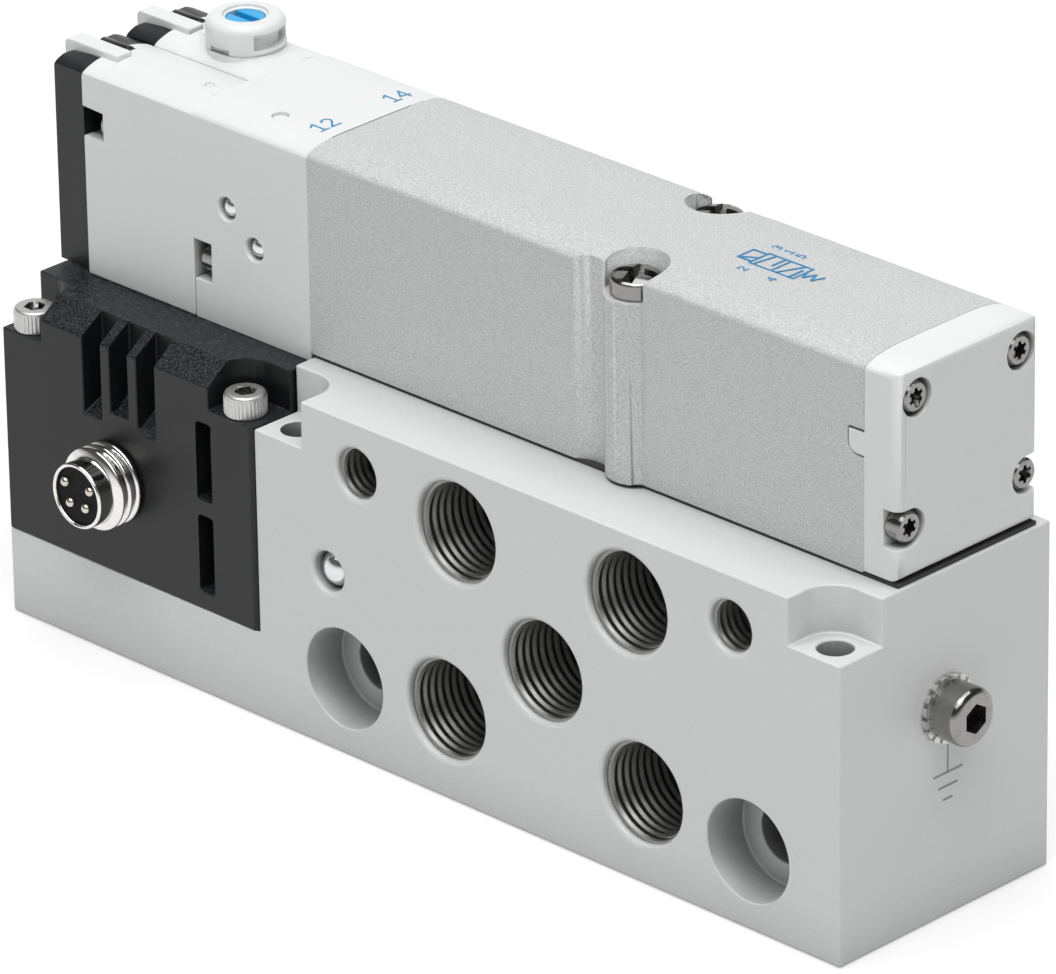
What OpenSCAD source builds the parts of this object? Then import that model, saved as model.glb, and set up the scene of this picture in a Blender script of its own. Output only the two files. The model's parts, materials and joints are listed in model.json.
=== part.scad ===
/* [Sub-base] */
// Depth of the sub-base, front to back
base_w = 27; // [26.5:0.5:32]
// Height of the ported part of the sub-base
base_h = 33.6; // [33.2:0.1:38]
// Height of the low end that carries the electrical housing
ledge_h = 8.6; // [7.6:0.1:9.4]
// Length of each front notch for a bolt from above
notch_l = 6.1; // [5.7:0.1:6.8]
// Depth of each front notch, front to back
notch_w = 5.4; // [5:0.1:6]
// Depth of each front notch below the top face
notch_depth = 4.6; // [3.5:0.1:5.4]
// Radius of the inner corner of each notch
notch_r = 3; // [1:0.1:3.3]
// Diameter of the through-hole in each notch
notch_hole_d = 3.3; // [2.6:0.1:3.6]
// Distance of a notch hole from the end of the ported part
notch_hole_in = 3; // [2.6:0.1:3.4]
// Distance of a notch hole from the front face
notch_hole_back = 2.7; // [2.3:0.1:3]
// Diameter of the counterbores in the front face
foot_head_d = 9.75; // [8:0.05:10.5]
// Depth of the counterbores in the front face
foot_head_depth = 4.6; // [3:0.1:7]
// Diameter of the through-holes behind the counterbores
foot_hole_d = 5.5; // [4.5:0.1:6]
// Spacing of the counterbored holes
foot_pitch = 50.1; // [49.5:0.1:51]
// Height of the counterbored holes
foot_z = 7.55; // [6.5:0.05:8.5]

/* [Air ports] */
// Thread diameter of the five working ports
port_d = 9.73; // [8.8:0.01:9.9]
// Depth of the threads of the working ports
port_depth = 8.6; // [6:0.1:9.5]
// Width of the chamfer at the mouth of each threaded port
port_chamfer = 0.3; // [0.1:0.05:0.5]
// Diameter of the drillings behind the working ports
drill_d = 5; // [4.4:0.1:5.2]
// Spacing of the upper pair of working ports
top_port_pitch = 21; // [20.5:0.1:22]
// Height of the upper pair of working ports
top_port_z = 26.75; // [26:0.05:27.2]
// Height of the middle port
mid_port_z = 16.6; // [16:0.1:17.6]
// Spacing of the lower pair of working ports
low_port_pitch = 24.3; // [23.5:0.1:25.5]
// Height of the lower pair of working ports
low_port_z = 8.7; // [7.5:0.1:9.2]
// Thread diameter of the two pilot air ports
pilot_port_d = 4.9; // [4.2:0.05:5]
// Depth of the threads of the pilot air ports
pilot_port_depth = 6.5; // [5:0.1:8]
// Spacing of the two pilot air ports
pilot_port_pitch = 46; // [45.5:0.1:46.6]
// Height of the pilot air ports
pilot_port_z = 28.55; // [28:0.05:29.4]
// Diameter of the drillings behind the pilot ports and the plug
pilot_drill_d = 2.5; // [1.8:0.1:2.8]
// Diameter of the pressed ball that closes the cross drilling
plug_d = 3.9; // [3:0.05:4.2]
// Distance of the ball plug from the middle of the ports
plug_x = 26.95; // [26.5:0.05:27.4]
// Height of the ball plug
plug_z = 17.6; // [16.5:0.1:18.5]
// Diameter of the five channels up to the valve
channel_d = 4.4; // [3.6:0.1:4.4]
// Spacing of the five channels
channel_pitch = 7.95; // [7.9:0.05:8.05]

/* [Valve body] */
// Width of the valve
valve_w = 18; // [17.8:0.05:18.4]
// Sideways place of the valve's middle from the middle of the sub-base
valve_y = 3.1; // [2.6:0.1:3.5]
// Length of the metal body
body_l = 68; // [67.6:0.1:68.6]
// Distance that the metal body reaches past the left end of the ported part
body_over = 0.2; // [0:0.05:0.4]
// Height of the body's side walls
shoulder_h = 19.1; // [18.8:0.1:20.5]
// Rise of the crowned top above the side walls
crown_rise = 1.15; // [0.6:0.05:1.6]
// Distance over which the crown rises from each side
crown_run = 5; // [3:0.1:7]
// Thickness of the seal between valve and sub-base
gasket_t = 0.35; // [0.2:0.05:0.6]
// Diameter of the spool bore
bore_d = 8; // [7.8:0.05:8.1]
// Height of the spool bore above the body's underside
bore_h = 9.85; // [9.5:0.05:10.2]
// Diameter of the chamber round the spool at each port
chamber_d = 10; // [9.4:0.1:10.2]
// Width of the chamber round the spool at each port
chamber_w = 4.4; // [4:0.1:4.8]
// Width of each spool seal
seal_w = 1.4; // [1:0.1:1.6]
// Thickness of each spool seal in radius
seal_t = 0.8; // [0.5:0.05:0.9]
// Travel of the spool
spool_travel = 3; // [2.6:0.1:3]
// Diameter of the spool between its lands
spool_neck_d = 4.4; // [3.6:0.1:5.2]
// Diameter of the drive piston's cylinder
cylinder_d = 11; // [10:0.1:11.4]
// Thickness of the drive piston
piston_l = 3; // [2.6:0.1:3.2]
// Diameter of the chamber of the return spring
spring_bore_d = 9.2; // [8.4:0.1:9.4]
// Length of the chamber of the return spring
spring_chamber_l = 8.4; // [8:0.1:9]
// Outer diameter of the return spring
return_spring_d = 6.2; // [5.8:0.1:6.8]
// Wire diameter of the return spring
return_wire_d = 0.7; // [0.5:0.05:0.75]

/* [Mounting screws of the valve] */
// Offset of the two screws from the middle of the ports along X
screw_shift = 1.3; // [0.8:0.1:1.8]
// Half the distance between the two screws along X
screw_dx = 1.95; // [1.6:0.05:2.3]
// Distance of the two screws from the side walls
screw_in = 1.75; // [1.6:0.05:1.9]
// Head diameter of the mounting screws
screw_head_d = 4.8; // [4.2:0.1:5]
// Head height of the mounting screws
screw_head_h = 2.1; // [1.6:0.1:2.6]
// Shank diameter of the mounting screws
screw_d = 2.9; // [2.4:0.1:3]
// Depth of the seat under the head, below the side walls' upper edge
screw_seat = 1.8; // [1.2:0.1:2.6]
// Diameter of the round column on the side wall that carries each screw
column_d = 5.9; // [5.5:0.1:6.2]
// Distance from this valve to the next one on a row of sub-bases
valve_pitch = 19; // [18.9:0.05:19.3]
// Depth of the groove beside each column, for the next valve's column
groove_depth = 0.8; // [0.4:0.05:1]
// Length of thread in the sub-base
screw_grip = 8.5; // [6:0.1:9.5]

/* [End cap] */
// Thickness of the end cap
cap_l = 4; // [3.6:0.1:4.4]
// Distance of the end cap from the end of the sub-base
cap_back = 0.2; // [0.1:0.05:0.6]
// Radius of the end cap's outer edges
cap_edge_r = 1; // [0.4:0.1:1.4]
// Gap between the end cap and the seal below it
cap_lift = 0.15; // [0.05:0.05:0.3]
// Length of the locating tab in the front of the body
tab_l = 1.8; // [1.2:0.1:2.4]
// Height of the locating tab
tab_h = 2.2; // [1.6:0.1:3]
// Height of the tab's upper edge above the body's underside
tab_z = 13.2; // [12.4:0.1:14]
// Head diameter of the end screws
end_head_d = 2.9; // [2.6:0.05:3]
// Head height of the end screws
end_head_h = 1.6; // [1.4:0.1:1.9]
// Depth of the heads below the face of the cap
end_head_sink = 0.2; // [0.1:0.05:0.3]
// Shank diameter of the end screws
end_screw_d = 2; // [1.6:0.1:2.1]
// Width of the ring of space round each end screw's head
end_head_gap = 0.35; // [0.15:0.05:0.4]
// Distance of the upper end screws from the side walls
end_top_in = 2.4; // [2.3:0.05:2.8]
// Distance of the lower end screws from the side walls
end_low_in = 1.6; // [1.55:0.05:1.9]
// Height of the upper end screws above the body's underside
end_top_z = 16.95; // [16.6:0.05:17.2]
// Height of the lower end screws above the body's underside
end_low_z = 4.95; // [4.7:0.05:5.3]

/* [Pilot block and pilots] */
// Length of the white pilot block
block_l = 15.1; // [14.7:0.1:15.6]
// Length of each pilot
pilot_l = 14.4; // [14.2:0.1:15]
// Thickness of the black end covers
cover_l = 3.8; // [3.4:0.1:4.2]
// Gap between the two pilots
pilot_gap = 0.2; // [0.1:0.05:0.3]
// Distance over which the crown of one pilot rises from each side
pilot_crown_run = 3.4; // [2:0.1:4]
// Depth of the window that shows a block screw's head
window_d = 3.3; // [2.6:0.1:3.5]
// Height of that window
window_h = 3.8; // [3.4:0.1:4.4]
// Length of that window
window_l = 2.2; // [2:0.05:3]
// Diameter of the steel balls in the block's face
ball_d = 2.2; // [1.6:0.1:2.6]
// Height of the white tongue above the crown
tongue_rise = 0.4; // [0.2:0.1:1]
// Width of the white tongue over each cover
tongue_w = 1.9; // [1.5:0.1:2.2]
// Distance that the white tongue reaches past the cover
tongue_over = 1.1; // [0.4:0.1:1.6]
// Distance of the tongue from the front of its pilot
tongue_y = 2.5; // [2.2:0.1:2.8]
// Width of the smoked window beside the tongue
lens_w = 1.5; // [1.2:0.1:1.8]
// Length of the smoked window
lens_l = 3.7; // [3:0.1:3.9]
// Height of the screw recess in the pilot's end
recess_h = 2.8; // [2.6:0.1:3.2]
// Length of the screw recess
recess_l = 2.7; // [2.3:0.1:3.2]
// Height of the pilot's screw above the body's underside
pilot_screw_z = 14.45; // [14.2:0.05:14.6]
// Distance of the pilot's screw from the side wall
pilot_screw_in = 1.6; // [1.5:0.05:1.7]
// Length of the pilot screws' thread in the pilot block
pilot_grip = 5; // [4:0.5:6]
// Fall of the cover's top towards its left end
cover_fall = 0.4; // [0.2:0.05:0.5]
// Distance of the smoked window from the left end of the cover
lens_back = 1.2; // [1:0.05:1.4]

/* [Manual override] */
// Distance of the override's axis from the pilot block
override_x = 6.65; // [6.2:0.05:7]
// Diameter of the round cap
override_cap_d = 7.5; // [7:0.1:8]
// Height of the round cap
override_cap_h = 2.9; // [2.6:0.05:3.6]
// Diameter of the blue button
button_d = 3.66; // [3.2:0.02:3.8]
// Width of the screwdriver slot
button_slot_w = 0.9; // [0.6:0.1:1.1]
// Depth of the screwdriver slot
button_slot_depth = 1.1; // [0.7:0.1:1.4]
// Depth of the button's face below the top of the cap
button_sink = 0.3; // [0.1:0.05:0.5]
// Travel of the button and the armature
override_travel = 0.55; // [0.3:0.05:0.55]

/* [Solenoid] */
// Outer diameter of the coil
coil_d = 7.7; // [7.2:0.1:7.7]
// Height of the coil
coil_h = 10; // [9.4:0.1:10]
// Diameter of the armature
armature_d = 3.2; // [2.8:0.1:3.6]
// Length of the armature
armature_l = 6.5; // [6:0.1:6.8]

/* [Electrical housing] */
// Height of the housing's rear top below the top of the sub-base
housing_drop = 0.5; // [0.3:0.1:0.8]
// Height of the front wall's top below the rear top
housing_slope = 1.9; // [1.2:0.1:2.4]
// Depth of the sloped strip from the front wall
slope_run = 2.6; // [2:0.1:3.2]
// Gap between the housing and the ported part
housing_gap = 0.15; // [0.05:0.05:0.3]
// Wall thickness of the housing
housing_wall = 1.8; // [1.4:0.1:2]
// Depth of each corner pocket below the rear top
pocket_depth = 4.1; // [3.6:0.1:4.6]
// Radius of each corner pocket
pocket_r = 2.85; // [2.6:0.05:3]
// Distance of the left housing screw from the housing's left end
left_screw_in = 2.35; // [2.2:0.05:2.8]
// Distance of the right housing screw from the housing's right end
right_screw_in = 3; // [2.4:0.05:3.2]
// Distance of the housing screws from the front wall
housing_screw_back = 2.05; // [2:0.05:2.3]
// Head diameter of the housing screws
housing_head_d = 3.9; // [3.4:0.1:4]
// Head height of the housing screws
housing_head_h = 2.2; // [1.8:0.1:2.6]
// Shank diameter of the housing screws
housing_screw_d = 2; // [1.6:0.1:2.2]
// Width of the upright slots between the fins
slot_w = 2.4; // [1.8:0.1:2.8]
// Thickness of the two fins
fin_w = 1.2; // [0.8:0.1:1.6]
// Depth of the upright slots
slot_depth = 2.6; // [1.8:0.1:2.8]
// Height of the slots' floor at the front
slot_z = 23.3; // [22.6:0.1:25]
// Height of the middle slot's floor above that of the left slot
middle_slot_rise = 1.4; // [0:0.1:2]
// Place of the middle slot from the housing's left end
slot_x = 15.6; // [15:0.1:16.4]
// Width of the two narrow slits
slit_w = 2; // [1.4:0.1:2.4]
// Height of each narrow slit
slit_h = 7.8; // [6:0.1:8]
// Depth of the narrow slits
slit_depth = 2.2; // [1.4:0.1:2.8]
// Gap between the two slits, one above the other
slit_gap = 1.5; // [1:0.1:2]
// Distance of the slits from the housing's right end
slit_x = 6.6; // [6.2:0.1:7.2]

/* [Plug connector] */
// Distance of the plug's axis from the housing's left end
plug_axis_x = 14.55; // [14:0.05:15]
// Height of the plug's axis
plug_axis_z = 17.9; // [17:0.1:18.4]
// Outer diameter of the plug's thread
shell_thread_d = 8; // [7.4:0.1:8.2]
// Depth of the plug's thread
shell_thread_depth = 0.55; // [0.3:0.05:0.6]
// Thread pitch of the plug
shell_pitch = 1; // [0.9:0.05:1]
// Number of full threads on the plug
shell_turns = 3; // [2:1:3]
// Outer diameter of the smooth sleeve
sleeve_d = 6.4; // [6.2:0.05:6.5]
// Inner diameter of the sleeve
sleeve_inner_d = 5.6; // [5.3:0.05:5.8]
// Reach of the sleeve past the thread
sleeve_l = 1.8; // [1.2:0.1:2.4]
// Diameter of each contact pin
pin_d = 1; // [0.8:0.05:1.1]
// Half the spacing of the upper contact pins
pin_top_dx = 1.64; // [1.5:0.02:1.7]
// Half the spacing of the lower contact pins
pin_low_dx = 1.04; // [0.95:0.02:1.1]
// Height of the pins above and below the plug's axis
pin_dz = 0.95; // [0.85:0.02:1.05]
// Thickness of the circuit board
board_t = 1.2; // [1:0.1:1.6]

/* [Ground screw] */
// Height of the ground screw
ground_z = 20.4; // [19.6:0.1:21]
// Head diameter of the ground screw
ground_head_d = 5.5; // [5:0.1:6]
// Head height of the ground screw
ground_head_h = 3; // [2.4:0.1:3.2]
// Shank diameter of the ground screw
ground_d = 2.9; // [2.4:0.1:3]
// Length of the ground screw's shank
ground_l = 8; // [6:0.5:9]
// Outer diameter of the toothed lock washer
lock_washer_d = 6.4; // [6:0.1:7]
// Thickness of the lock washer
lock_washer_t = 0.55; // [0.4:0.05:0.8]
// Number of teeth on the lock washer
lock_washer_teeth = 16; // [10:1:18]

/* [Hidden] */
$fn = 64;

// Small overlap of a cutting tool past the face that it opens
eps = 0.5;
// Sliding clearance in radius between a moving piece and its bore
slide_gap = 0.05;
// Clearance between a plastic piece and the pocket that holds it
fit_gap = 0.05;

// The whole sub-base is as long as the valve on it, and its ported part carries the metal body
base_l = cap_back + cap_l + body_l + block_l + pilot_l + cover_l;
section_l = cap_back + cap_l + body_l - body_over;

// Places along X
base_x0 = -base_l / 2;
base_x1 = base_l / 2;
section_x0 = base_x1 - section_l;
section_x = base_x1 - section_l / 2;
cap_x1 = base_x1 - cap_back;
body_x1 = cap_x1 - cap_l;
body_x0 = body_x1 - body_l;
block_x0 = body_x0 - block_l;
pilot_x0 = block_x0 - pilot_l;
cover_x0 = pilot_x0 - cover_l;
housing_x1 = section_x0 - housing_gap;

// Places across
front_y = -base_w / 2;
valve_front = valve_y - valve_w / 2;
valve_back = valve_y + valve_w / 2;

// Heights
housing_z1 = base_h - housing_drop;
body_z0 = base_h + gasket_t;
shoulder_z = body_z0 + shoulder_h;
crown_z = shoulder_z + crown_rise;
bore_z = body_z0 + bore_h;
seat_z = shoulder_z - screw_seat;
tongue_z = crown_z + tongue_rise;

// The two mounting screws, front and back
screw_places = [[section_x + screw_shift + screw_dx, valve_front + screw_in, -1],
                [section_x + screw_shift - screw_dx, valve_back - screw_in, 1]];
// The four end screws, as places across and heights
end_places = [for (side = [-1, 1], low = [0, 1])
    [valve_y + side * (valve_w / 2 - (low == 1 ? end_low_in : end_top_in)),
     body_z0 + (low == 1 ? end_low_z : end_top_z)]];
// The two housing screws
housing_places = [[base_x0 + left_screw_in, -1], [housing_x1 - right_screw_in, 1]];
housing_screw_y = front_y + housing_screw_back;

// One pilot's width and the middles of the two pilots
pilot_w = (valve_w - pilot_gap) / 2;
blank_y = valve_front + pilot_w / 2;
coil_y = valve_back - pilot_w / 2;
override_axis_x = block_x0 - override_x;

// Heights inside the solenoid, from its floor upwards
coil_z = housing_z1 + 3.3;
armature_top = coil_z + coil_h + 1.6;
armature_z = armature_top - armature_l;
core_top = armature_z - override_travel - 0.1;
stem_head_z = armature_top + 4.3;
stem_head_h = 0.45;
button_z = stem_head_z + stem_head_h;

// Inside the body, along X
piston_x = body_x0 + 5.05;
spool_x0 = piston_x + piston_l;
cylinder_end = spool_x0 + spool_travel + 0.5;
spring_chamber_x = body_x1 - spring_chamber_l;
spool_x1 = spring_chamber_x - 0.9;
spigot_l = 1.8;

// Heights and depths of the plug
plug_axis = base_x0 + plug_axis_x;
thread_end = front_y - shell_turns * shell_pitch;
sleeve_end = thread_end - sleeve_l;
cavity_y0 = front_y + slot_depth + 1.1;
board_y = cavity_y0 + 1.5;

// A straight shape along X, from a drawing in the YZ plane
module along_x(x0, length) {
    translate([x0, 0, 0])
        rotate([90, 0, 90])
            linear_extrude(height = length)
                children();
}

// A straight shape along Y, from a drawing in the XZ plane
module along_y(y0, length) {
    translate([0, y0 + length, 0])
        rotate([90, 0, 0])
            linear_extrude(height = length)
                children();
}

// A round bar along X, Y or Z from its starting point
module bar_x(x, y, z, d, length, d2 = 0) {
    translate([x, y, z])
        rotate([0, 90, 0])
            cylinder(h = length, d1 = d, d2 = d2 > 0 ? d2 : d);
}

module bar_y(x, y, z, d, length, d2 = 0) {
    translate([x, y, z])
        rotate([-90, 0, 0])
            cylinder(h = length, d1 = d, d2 = d2 > 0 ? d2 : d);
}

module bar_z(x, y, z, d, length, d2 = 0) {
    translate([x, y, z])
        cylinder(h = length, d1 = d, d2 = d2 > 0 ? d2 : d);
}

// A box from its two far corners
module box(x0, x1, y0, y1, z0, z1) {
    translate([x0, y0, z0])
        cube([x1 - x0, y1 - y0, z1 - z0]);
}

// Points of a crown of width w, rising over run from each side. A bend of 1 is a quarter of
// an ellipse, and a higher bend is flatter between its two ends
function crown_points(w, run, rise, bend, steps = 9) = concat(
    [for (i = [0:steps]) let (a = i * 90 / steps)
        [-w / 2 + run * (1 - pow(cos(a), bend)), rise * pow(sin(a), bend)]],
    [for (i = [steps:-1:0]) let (a = i * 90 / steps)
        [w / 2 - run * (1 - pow(cos(a), bend)), rise * pow(sin(a), bend)]]);

// Section of a crowned piece: middle y, width, underside and top of the side walls
module crowned(y, w, z0, z1, run, rise, bend = 1) {
    translate([y, z1])
        polygon(concat([[w / 2, z0 - z1], [-w / 2, z0 - z1]], crown_points(w, run, rise, bend)));
}
pilot_bend = 4 / 3;

// A rectangle with rounded corners at its +X end
module rounded_end(length, width, r) {
    translate([0, -width / 2])
        square([length - r, width]);
    translate([0, -width / 2 + r])
        square([length, width - 2 * r]);
    for (side = [-1, 1])
        translate([length - r, side * (width / 2 - r)])
            circle(r = r);
}

// A coil spring along Z, from z = 0 to length, with a closed round wire
module spring(length, outer_d, wire_d, turns, ring_steps = 14, wire_sides = 8) {
    rings = turns * ring_steps;
    coil_r = (outer_d - wire_d) / 2;
    rise = length - wire_d;
    ring_points = [for (i = [0:rings], k = [0:wire_sides - 1])
        let (a = i * 360 / ring_steps,
             b = k * 360 / wire_sides,
             r = coil_r + wire_d / 2 * cos(b))
        [r * cos(a), r * sin(a), wire_d / 2 + rise * i / rings + wire_d / 2 * sin(b)]];
    sides = [for (i = [0:rings - 1], k = [0:wire_sides - 1])
        let (a = i * wire_sides + k,
             b = i * wire_sides + (k + 1) % wire_sides)
        [a, a + wire_sides, b + wire_sides, b]];
    first = [[for (k = [0:wire_sides - 1]) k]];
    last = [[for (k = [wire_sides - 1:-1:0]) rings * wire_sides + k]];
    polyhedron(points = ring_points, faces = concat(sides, first, last));
}

// Outline of a star recess with six lobes
module star(d) {
    circle(d = d * 0.72);
    for (i = [0:2])
        rotate(i * 60)
            square([d, d * 0.22], center = true);
}

// Sub-base

// One bolt notch, open to the front and to the end on the side given
module notch(side) {
    x_end = section_x + side * section_l / 2;
    translate([x_end, front_y, base_h - notch_depth])
        mirror([side > 0 ? 1 : 0, 0, 0])
            linear_extrude(height = notch_depth + eps) {
                translate([-eps, -eps])
                    square([notch_l - notch_r + eps, notch_w + eps]);
                translate([-eps, -eps])
                    square([notch_l + eps, notch_w - notch_r + eps]);
                translate([notch_l - notch_r, notch_w - notch_r])
                    circle(r = notch_r);
            }
    bar_z(x_end - side * notch_hole_in, front_y + notch_hole_back, -eps, notch_hole_d, base_h + eps);
}

// A threaded hole in the front face with the drilling behind it
module front_port(x, z, d, depth, drill) {
    bar_y(x, front_y - eps, z, d, depth + eps);
    bar_y(x, front_y - eps, z, d + 2 * (port_chamfer + eps), port_chamfer + eps, d);
    bar_y(x, front_y, z, drill, valve_y + drill / 2 - front_y);
}

// A channel from the valve's face down to a height
module channel(x, z, d) {
    bar_z(x, valve_y, z, d, base_h + eps - z);
}

module working_ports() {
    for (side = [-1, 1]) {
        front_port(section_x + side * top_port_pitch / 2, top_port_z, port_d, port_depth, drill_d);
        channel(section_x + side * channel_pitch, top_port_z, channel_d);
        front_port(section_x + side * low_port_pitch / 2, low_port_z, port_d, port_depth, drill_d);
        channel(section_x + side * 2 * channel_pitch, low_port_z, channel_d);
    }
    front_port(section_x, mid_port_z, port_d, port_depth, drill_d);
    channel(section_x, mid_port_z, channel_d);
}

module pilot_ports() {
    for (side = [-1, 1]) {
        x = section_x + side * pilot_port_pitch / 2;
        front_port(x, pilot_port_z, pilot_port_d, pilot_port_depth, pilot_drill_d);
        channel(x, pilot_port_z, pilot_drill_d);
    }
    front_port(section_x - plug_x, plug_z, plug_d, plug_d, pilot_drill_d);
    channel(section_x - plug_x, plug_z, pilot_drill_d);
}

foot_chamfer = 0.15;
module foot_holes() {
    for (side = [-1, 1]) {
        x = section_x + side * foot_pitch / 2;
        bar_y(x, front_y - eps, foot_z, foot_hole_d, base_w + 2 * eps);
        bar_y(x, front_y - eps, foot_z, foot_head_d, foot_head_depth + eps);
        bar_y(x, front_y - eps, foot_z, foot_head_d + 2 * (foot_chamfer + eps), foot_chamfer + eps,
              foot_head_d);
    }
}

// Tapped holes for the screws that fasten the other pieces
module base_tappings() {
    for (p = screw_places)
        bar_z(p[0], p[1], base_h - screw_grip - 0.5, screw_d, screw_grip + 0.5 + eps);
    for (p = housing_places)
        bar_z(p[0], housing_screw_y, ledge_h - housing_screw_grip - 0.5, housing_screw_d,
              housing_screw_grip + 0.5 + eps);
    bar_x(base_x1 - ground_l, 0, ground_z, ground_d, ground_l + eps);
}
housing_screw_grip = 5.5;

module sub_base() {
    color("gainsboro")
        difference() {
            union() {
                box(section_x0, base_x1, front_y, -front_y, 0, base_h);
                box(base_x0, section_x0 + eps, front_y, -front_y, 0, ledge_h);
            }
            notch(-1);
            notch(1);
            foot_holes();
            working_ports();
            pilot_ports();
            base_tappings();
        }
}

module channel_plug() {
    color("silver")
        translate([section_x - plug_x, front_y + plug_d / 2 + 0.25, plug_z])
            sphere(d = plug_d);
}

module ground_screw() {
    x0 = base_x1 + lock_washer_t;
    edge = 0.8;
    color("silver")
        difference() {
            union() {
                bar_x(x0 - ground_l + 0.3, 0, ground_z, ground_d, ground_l);
                bar_x(x0, 0, ground_z, ground_head_d, ground_head_h - edge);
                translate([x0 + ground_head_h - edge, 0, ground_z])
                    rotate([0, 90, 0])
                        rotate_extrude()
                            intersection() {
                                square([ground_head_d / 2, edge]);
                                union() {
                                    square([ground_head_d / 2 - edge, edge]);
                                    translate([ground_head_d / 2 - edge, 0])
                                        circle(r = edge);
                                }
                            }
            }
            translate([x0 + ground_head_h - 1.6, 0, ground_z])
                rotate([0, 90, 0])
                    cylinder(h = 1.6 + eps, d = 2.9, $fn = 6);
        }
}

// Toothed lock washer: a ring with teeth cut round its rim
module ground_lock_washer() {
    tooth_depth = 0.55;
    color("silver")
        difference() {
            bar_x(base_x1, 0, ground_z, lock_washer_d, lock_washer_t);
            bar_x(base_x1 - eps, 0, ground_z, ground_d + 0.1, lock_washer_t + 2 * eps);
            for (i = [0:lock_washer_teeth - 1])
                translate([base_x1 - eps, 0, ground_z])
                    rotate([i * 360 / lock_washer_teeth, 0, 0])
                        translate([0, lock_washer_d / 2, 0])
                            rotate([0, 0, 8])
                                cube([2 * (lock_washer_t + 2 * eps), 2 * tooth_depth, 0.45],
                                     center = true);
        }
}

// Seal between valve and sub-base, with an opening for every channel and screw
module base_gasket() {
    inset = 0.12;
    color("#202020")
        difference() {
            box(body_x0 + inset, cap_x1 - inset, valve_front + inset, valve_back - inset,
                base_h, body_z0);
            for (k = [-2:2])
                bar_z(section_x + k * channel_pitch, valve_y, base_h - eps, channel_d, gasket_t + 2 * eps);
            for (x = [-pilot_port_pitch / 2, pilot_port_pitch / 2, -plug_x])
                bar_z(section_x + x, valve_y, base_h - eps, pilot_drill_d, gasket_t + 2 * eps);
            for (p = screw_places)
                bar_z(p[0], p[1], base_h - eps, screw_d + 0.4, gasket_t + 2 * eps);
        }
}

// Electrical housing and plug

// Corner pocket round a housing screw, open to the front and to the end
module corner_pocket(x, side) {
    reach = right_screw_in + 2;
    translate([x, housing_screw_y, housing_z1 - pocket_depth])
        mirror([side > 0 ? 0 : 1, 0, 0])
            linear_extrude(height = pocket_depth + eps) {
                circle(r = pocket_r);
                translate([-pocket_r, -housing_screw_back - eps])
                    square([pocket_r + reach, housing_screw_back + eps]);
                translate([0, -housing_screw_back - eps])
                    square([reach, housing_screw_back + eps + pocket_r]);
            }
}

// One upright slot whose floor is higher at the back, and at its left and right end by the
// two rises given
module fin_slot(x, rise_left, rise_right) {
    intersection() {
        along_x(x - slot_w / 2, slot_w)
            polygon([[front_y - eps, slot_z], [front_y + slot_depth, slot_z + 1.4 + rise_left],
                     [front_y + slot_depth, housing_z1 + eps], [front_y - eps, housing_z1 + eps]]);
        along_y(front_y - eps, slot_depth + 2 * eps)
            polygon([[x - slot_w, slot_z + rise_left], [x - slot_w / 2, slot_z + rise_left],
                     [x + slot_w / 2, slot_z + rise_right], [x + slot_w, slot_z + rise_right],
                     [x + slot_w, base_h + eps], [x - slot_w, base_h + eps]]);
    }
}

// Three upright slots leave two fins between them
module fin_slots() {
    x = base_x0 + slot_x;
    fin_slot(x - slot_w - fin_w, 0, 0);
    fin_slot(x, middle_slot_rise, middle_slot_rise);
    fin_slot(x + slot_w + fin_w, 0.9, 0);
}

// Two narrow slits, one above the other
module slits() {
    middle_z = ledge_h + 10.3;
    r = 0.4;
    for (side = [-1, 1])
        along_y(front_y - eps, slit_depth + eps)
            translate([housing_x1 - slit_x, middle_z + side * (slit_h + slit_gap) / 2]) {
                square([slit_w - 2 * r, slit_h], center = true);
                square([slit_w, slit_h - 2 * r], center = true);
                for (u = [-1, 1], v = [-1, 1])
                    translate([u * (slit_w / 2 - r), v * (slit_h / 2 - r)])
                        circle(r = r);
            }
}

// Ends of the cavity between the walls of the two corner pockets
cavity_x0 = base_x0 + left_screw_in + pocket_r + 1;
cavity_x1 = housing_x1 - right_screw_in - pocket_r - 1;
module housing_cavity() {
    box(cavity_x0, cavity_x1, cavity_y0, -front_y - housing_wall, ledge_h - eps,
        housing_z1 - housing_wall);
}

module connector_housing() {
    edge = 0.7;
    color("#26272a")
        difference() {
            intersection() {
                along_x(base_x0, housing_x1 - base_x0)
                    polygon([[front_y, ledge_h], [-front_y, ledge_h], [-front_y, housing_z1],
                             [front_y + slope_run, housing_z1], [front_y, housing_z1 - housing_slope]]);
                translate([base_x0, 0, 0])
                    linear_extrude(height = housing_z1 + eps)
                        rounded_end(housing_x1 - base_x0, base_w, edge);
            }
            for (p = housing_places) {
                corner_pocket(p[0], p[1]);
                bar_z(p[0], housing_screw_y, 0, housing_screw_d + 0.2, base_h);
            }
            fin_slots();
            slits();
            housing_cavity();
            bar_y(plug_axis, front_y - eps, plug_axis_z, sleeve_d + 0.6, cavity_y0 - front_y + 2 * eps);
            for (side = [-1, 1])
                bar_z(override_axis_x + side * coil_pin_dx, coil_y, ledge_h, 1, base_h);
        }
}
coil_pin_dx = 1.3;

// Socket head screw, upright, with its seat at z
module housing_screws() {
    grip_z = ledge_h - housing_screw_grip;
    seat = housing_z1 - pocket_depth;
    color("silver")
        for (p = housing_places)
            difference() {
                union() {
                    bar_z(p[0], housing_screw_y, grip_z, housing_screw_d, seat - grip_z);
                    bar_z(p[0], housing_screw_y, seat, housing_head_d, housing_head_h - 0.2);
                    bar_z(p[0], housing_screw_y, seat + housing_head_h - 0.2, housing_head_d, 0.2,
                          housing_head_d - 0.4);
                }
                translate([p[0], housing_screw_y, seat + 1])
                    cylinder(h = housing_head_h, d = 2, $fn = 6);
            }
}

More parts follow.
